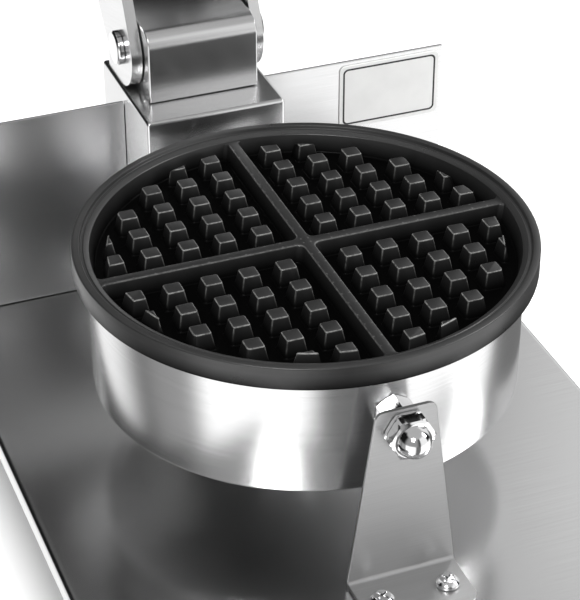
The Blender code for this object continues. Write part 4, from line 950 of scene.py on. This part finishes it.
def make_handle():
    """Stem with a collar, swelling grip and domed end nut, in millimetres out from the drum axis."""
    at = LID_SHUT @ facing((0, -1, 0), (0, 0, 40.0 * MM))
    collar, start, end = 90.5, 112, 204
    stem = [(0, 84), (8, 84), (8, 88.2), (4.9, 88.2), (4.9, collar + 0.2), (9, collar + 0.2, 0.5),
            (9, collar + 5, 1.5), (6, collar + 9, 2), (6, start - 0.3, 0.4), (4.9, start - 0.3),
            (4.9, end + 3), (0, end + 3)]
    grip = [(5.2, start), (8.2, start, 0.5), (9.6, start + 1.8, 1.0)]
    for k in range(1, 20):
        t = k / 20
        swell = 9.7 + 3.3 * math.sin(math.pi * min(1.0, 0.15 + t * 0.75) ** 1.1) ** 0.8
        grip.append((swell, start + 4 + 80 * t))
    grip += [(9.6, end - 3.0, 1.5), (8.5, end, 0.8), (5.2, end)]
    nut = [(5.2, end + 0.3), (7.5, end + 0.3, 0.4), (7.5, end + 3.6, 0.8), (5, end + 6.2, 1.5),
           (0, end + 7.2), (0, end + 3.3), (5.2, end + 3.3)]
    for name, outline, steps, look, node in (("handle_rod", stem, 72, CHROME, "handle_stem"),
                                             ("handle_sleeve", grip, 96, PLASTIC, "handle_grip"),
                                             ("handle_cap_nut", nut, 72, CHROME, "handle_end_nut")):
        piece(name, moved(turned(rounded(mm(outline)), steps), at), look, "lid", [node])


# --- CAD nodes that stay, with their finishes ---
def finish_kept_nodes():
    """Ease and finish the pieces whose CAD solids are fine enough as they are, most of them inside."""
    sheet_edges("base_enclosure", 0.4 * MM, STEEL_X)
    looks = {"bottom_cover": STEEL_X, "thermostat_body": ALUMINIUM, "timer_body": ALUMINIUM,
             "terminal_block": CERAMIC, "front_stud": CHROME}
    for word in ("lower", "upper"):
        looks |= {f"{word}_heating_element": ALUMINIUM, f"{word}_clamp_plate": ALUMINIUM,
                  f"{word}_insulation_pad": FIBRE}
    for node, look in looks.items():
        sheet_edges(node, 0.3 * MM, look)


# --- studio ---
def softbox(name, spot, aim, size, power):
    """White rectangular area lamp at a spot, turned to its aim."""
    data = bpy.data.lights.new(name, "AREA")
    data.shape = "RECTANGLE"
    data.size, data.size_y = size
    data.energy = power
    lamp = bpy.data.objects.new(name, data)
    lamp.location = spot
    lamp.rotation_euler = (Vector(aim) - Vector(spot)).to_track_quat("-Z", "Y").to_euler()
    bpy.context.scene.collection.objects.link(lamp)
    return lamp


# Soft panels round the studio, as (bearing, half width, softness, brightness, side): bearings run
# anticlockwise from the camera's own, seen from above, and side says below or above the horizon.
PANELS = ((-25, 29, 16, 1.50, "below"), (73.5, 37, 8, 1.35, "below"), (-138, 28, 34, 1.05, "below"),
          (-68, 16, 18, 0.20, "below"), (146, 24, 12, 0.95, "above"), (63, 25, 8, 1.10, "above"),
          (-20, 40, 30, 0.35, "above"))
LEVELS = {"below": 0.19, "above": 0.01, "ceiling": 0.52}
CAMERA_BEARING = math.radians(-111.8)


def panel_world():
    """Surround seen in reflections: soft bright panels on grey below and above the horizon."""
    g = Graph(bpy.data.worlds.new("studio"), "Background")
    bpy.context.scene.world = g.owner

    def blend(height, start, end, first, second):
        node = g.add("ShaderNodeMix", {"Factor": g.spread(height, start, end, 0.0, 1.0, "SMOOTHSTEP"),
                                       "A": first, "B": second}, data_type="FLOAT")
        return node.outputs["Result"]

    towards = g.add("ShaderNodeTexCoord").outputs["Generated"]
    x, y, height = g.add("ShaderNodeSeparateXYZ", {0: towards}).outputs
    angle = g.maths("SUBTRACT", g.maths("ARCTAN2", y, x), CAMERA_BEARING)
    totals = {}
    for side in ("below", "above"):
        total = LEVELS[side]
        for bearing, half, soft, strength, where in PANELS:
            if where == side:
                near = g.maths("COSINE", g.maths("SUBTRACT", angle, math.radians(bearing)))
                dark, bright = (math.cos(math.radians(half + k * soft / 2)) for k in (1, -1))
                total = g.maths("ADD", total, g.spread(near, dark, bright, 0.0, strength, "SMOOTHSTEP"))
        totals[side] = total
    over = blend(height, 0.64, 0.80, totals["above"], LEVELS["ceiling"])
    g.set(Strength=blend(height, -0.12, 0.08, totals["below"], over), Color=(1.0, 1.0, 1.0, 1))


def make_studio():
    """Plain pale floor, which steel doesn't mirror, the surround and three soft lamps."""
    shape = bmesh.new()
    bmesh.ops.create_grid(shape, x_segments=2, y_segments=2, size=6.0)
    plane = new_object("floor", shape)
    g = Graph(bpy.data.materials.new("floor"))
    cloud = g.noise(g.place(), 0.8, 2.0)
    g.set(Base_Color=g.mix(cloud, (0.88, 0.88, 0.88, 1), (0.91, 0.91, 0.91, 1)), Roughness=0.8)
    plane.data.materials.append(g.owner)
    plane.visible_glossy = False
    panel_world()
    middle = Vector((0, AXIS_Y, 0.1))
    softbox("front_left", (-0.9, -1.3, 1.5), middle, (0.7, 0.7), 16)
    softbox("right", (1.6, -0.5, 1.3), middle, (0.5, 0.9), 14)
    softbox("overhead", (0.0, 0.2, 2.0), middle, (1.2, 1.0), 50).visible_glossy = False
    bpy.context.scene.view_settings.view_transform = "Standard"


def make_camera():
    """Long lens from the front left, looking down on the open grid."""
    azimuth, elevation = math.radians(-21.28), math.radians(33.28)
    level = math.cos(elevation)
    back = Vector((math.sin(azimuth) * level, -math.cos(azimuth) * level, math.sin(elevation)))
    from_grid = Vector((-0.2783, -0.6966, 0.4629))         # camera's place, from the middle of the stud tops
    data = bpy.data.cameras.new("camera")
    data.lens = 128.6
    data.sensor_width = 36.0
    data.clip_start = 0.01
    camera = bpy.data.objects.new("camera", data)
    camera.location = Vector((0, AXIS_Y, GRID_Z)) + from_grid
    camera.rotation_euler = (-back).to_track_quat("-Z", "Y").to_euler()
    bpy.context.scene.collection.objects.link(camera)
    bpy.context.scene.camera = camera


def main():
    make_camera()
    make_studio()
    make_grid("lower", "base", LOWER)
    make_grid("upper", "lid", UPPER)
    make_casing("lower", "base", LOWER)
    make_casing("upper", "lid", UPPER)
    make_base_plate()
    make_back_panels()
    make_tower()
    make_hinge_block()
    make_label()
    make_support()
    make_knob("thermostat_knob", "thermostat_dial", 10, math.radians(270))
    make_knob("timer_knob", "timer_dial", 12, math.radians(330))
    make_lamp("power_lamp", RED)
    make_lamp("ready_lamp", GREEN)
    make_rocker()
    make_feet()
    make_rear()
    make_yoke()
    make_handle()
    finish_kept_nodes()


main()
bpy.context.view_layer.update()
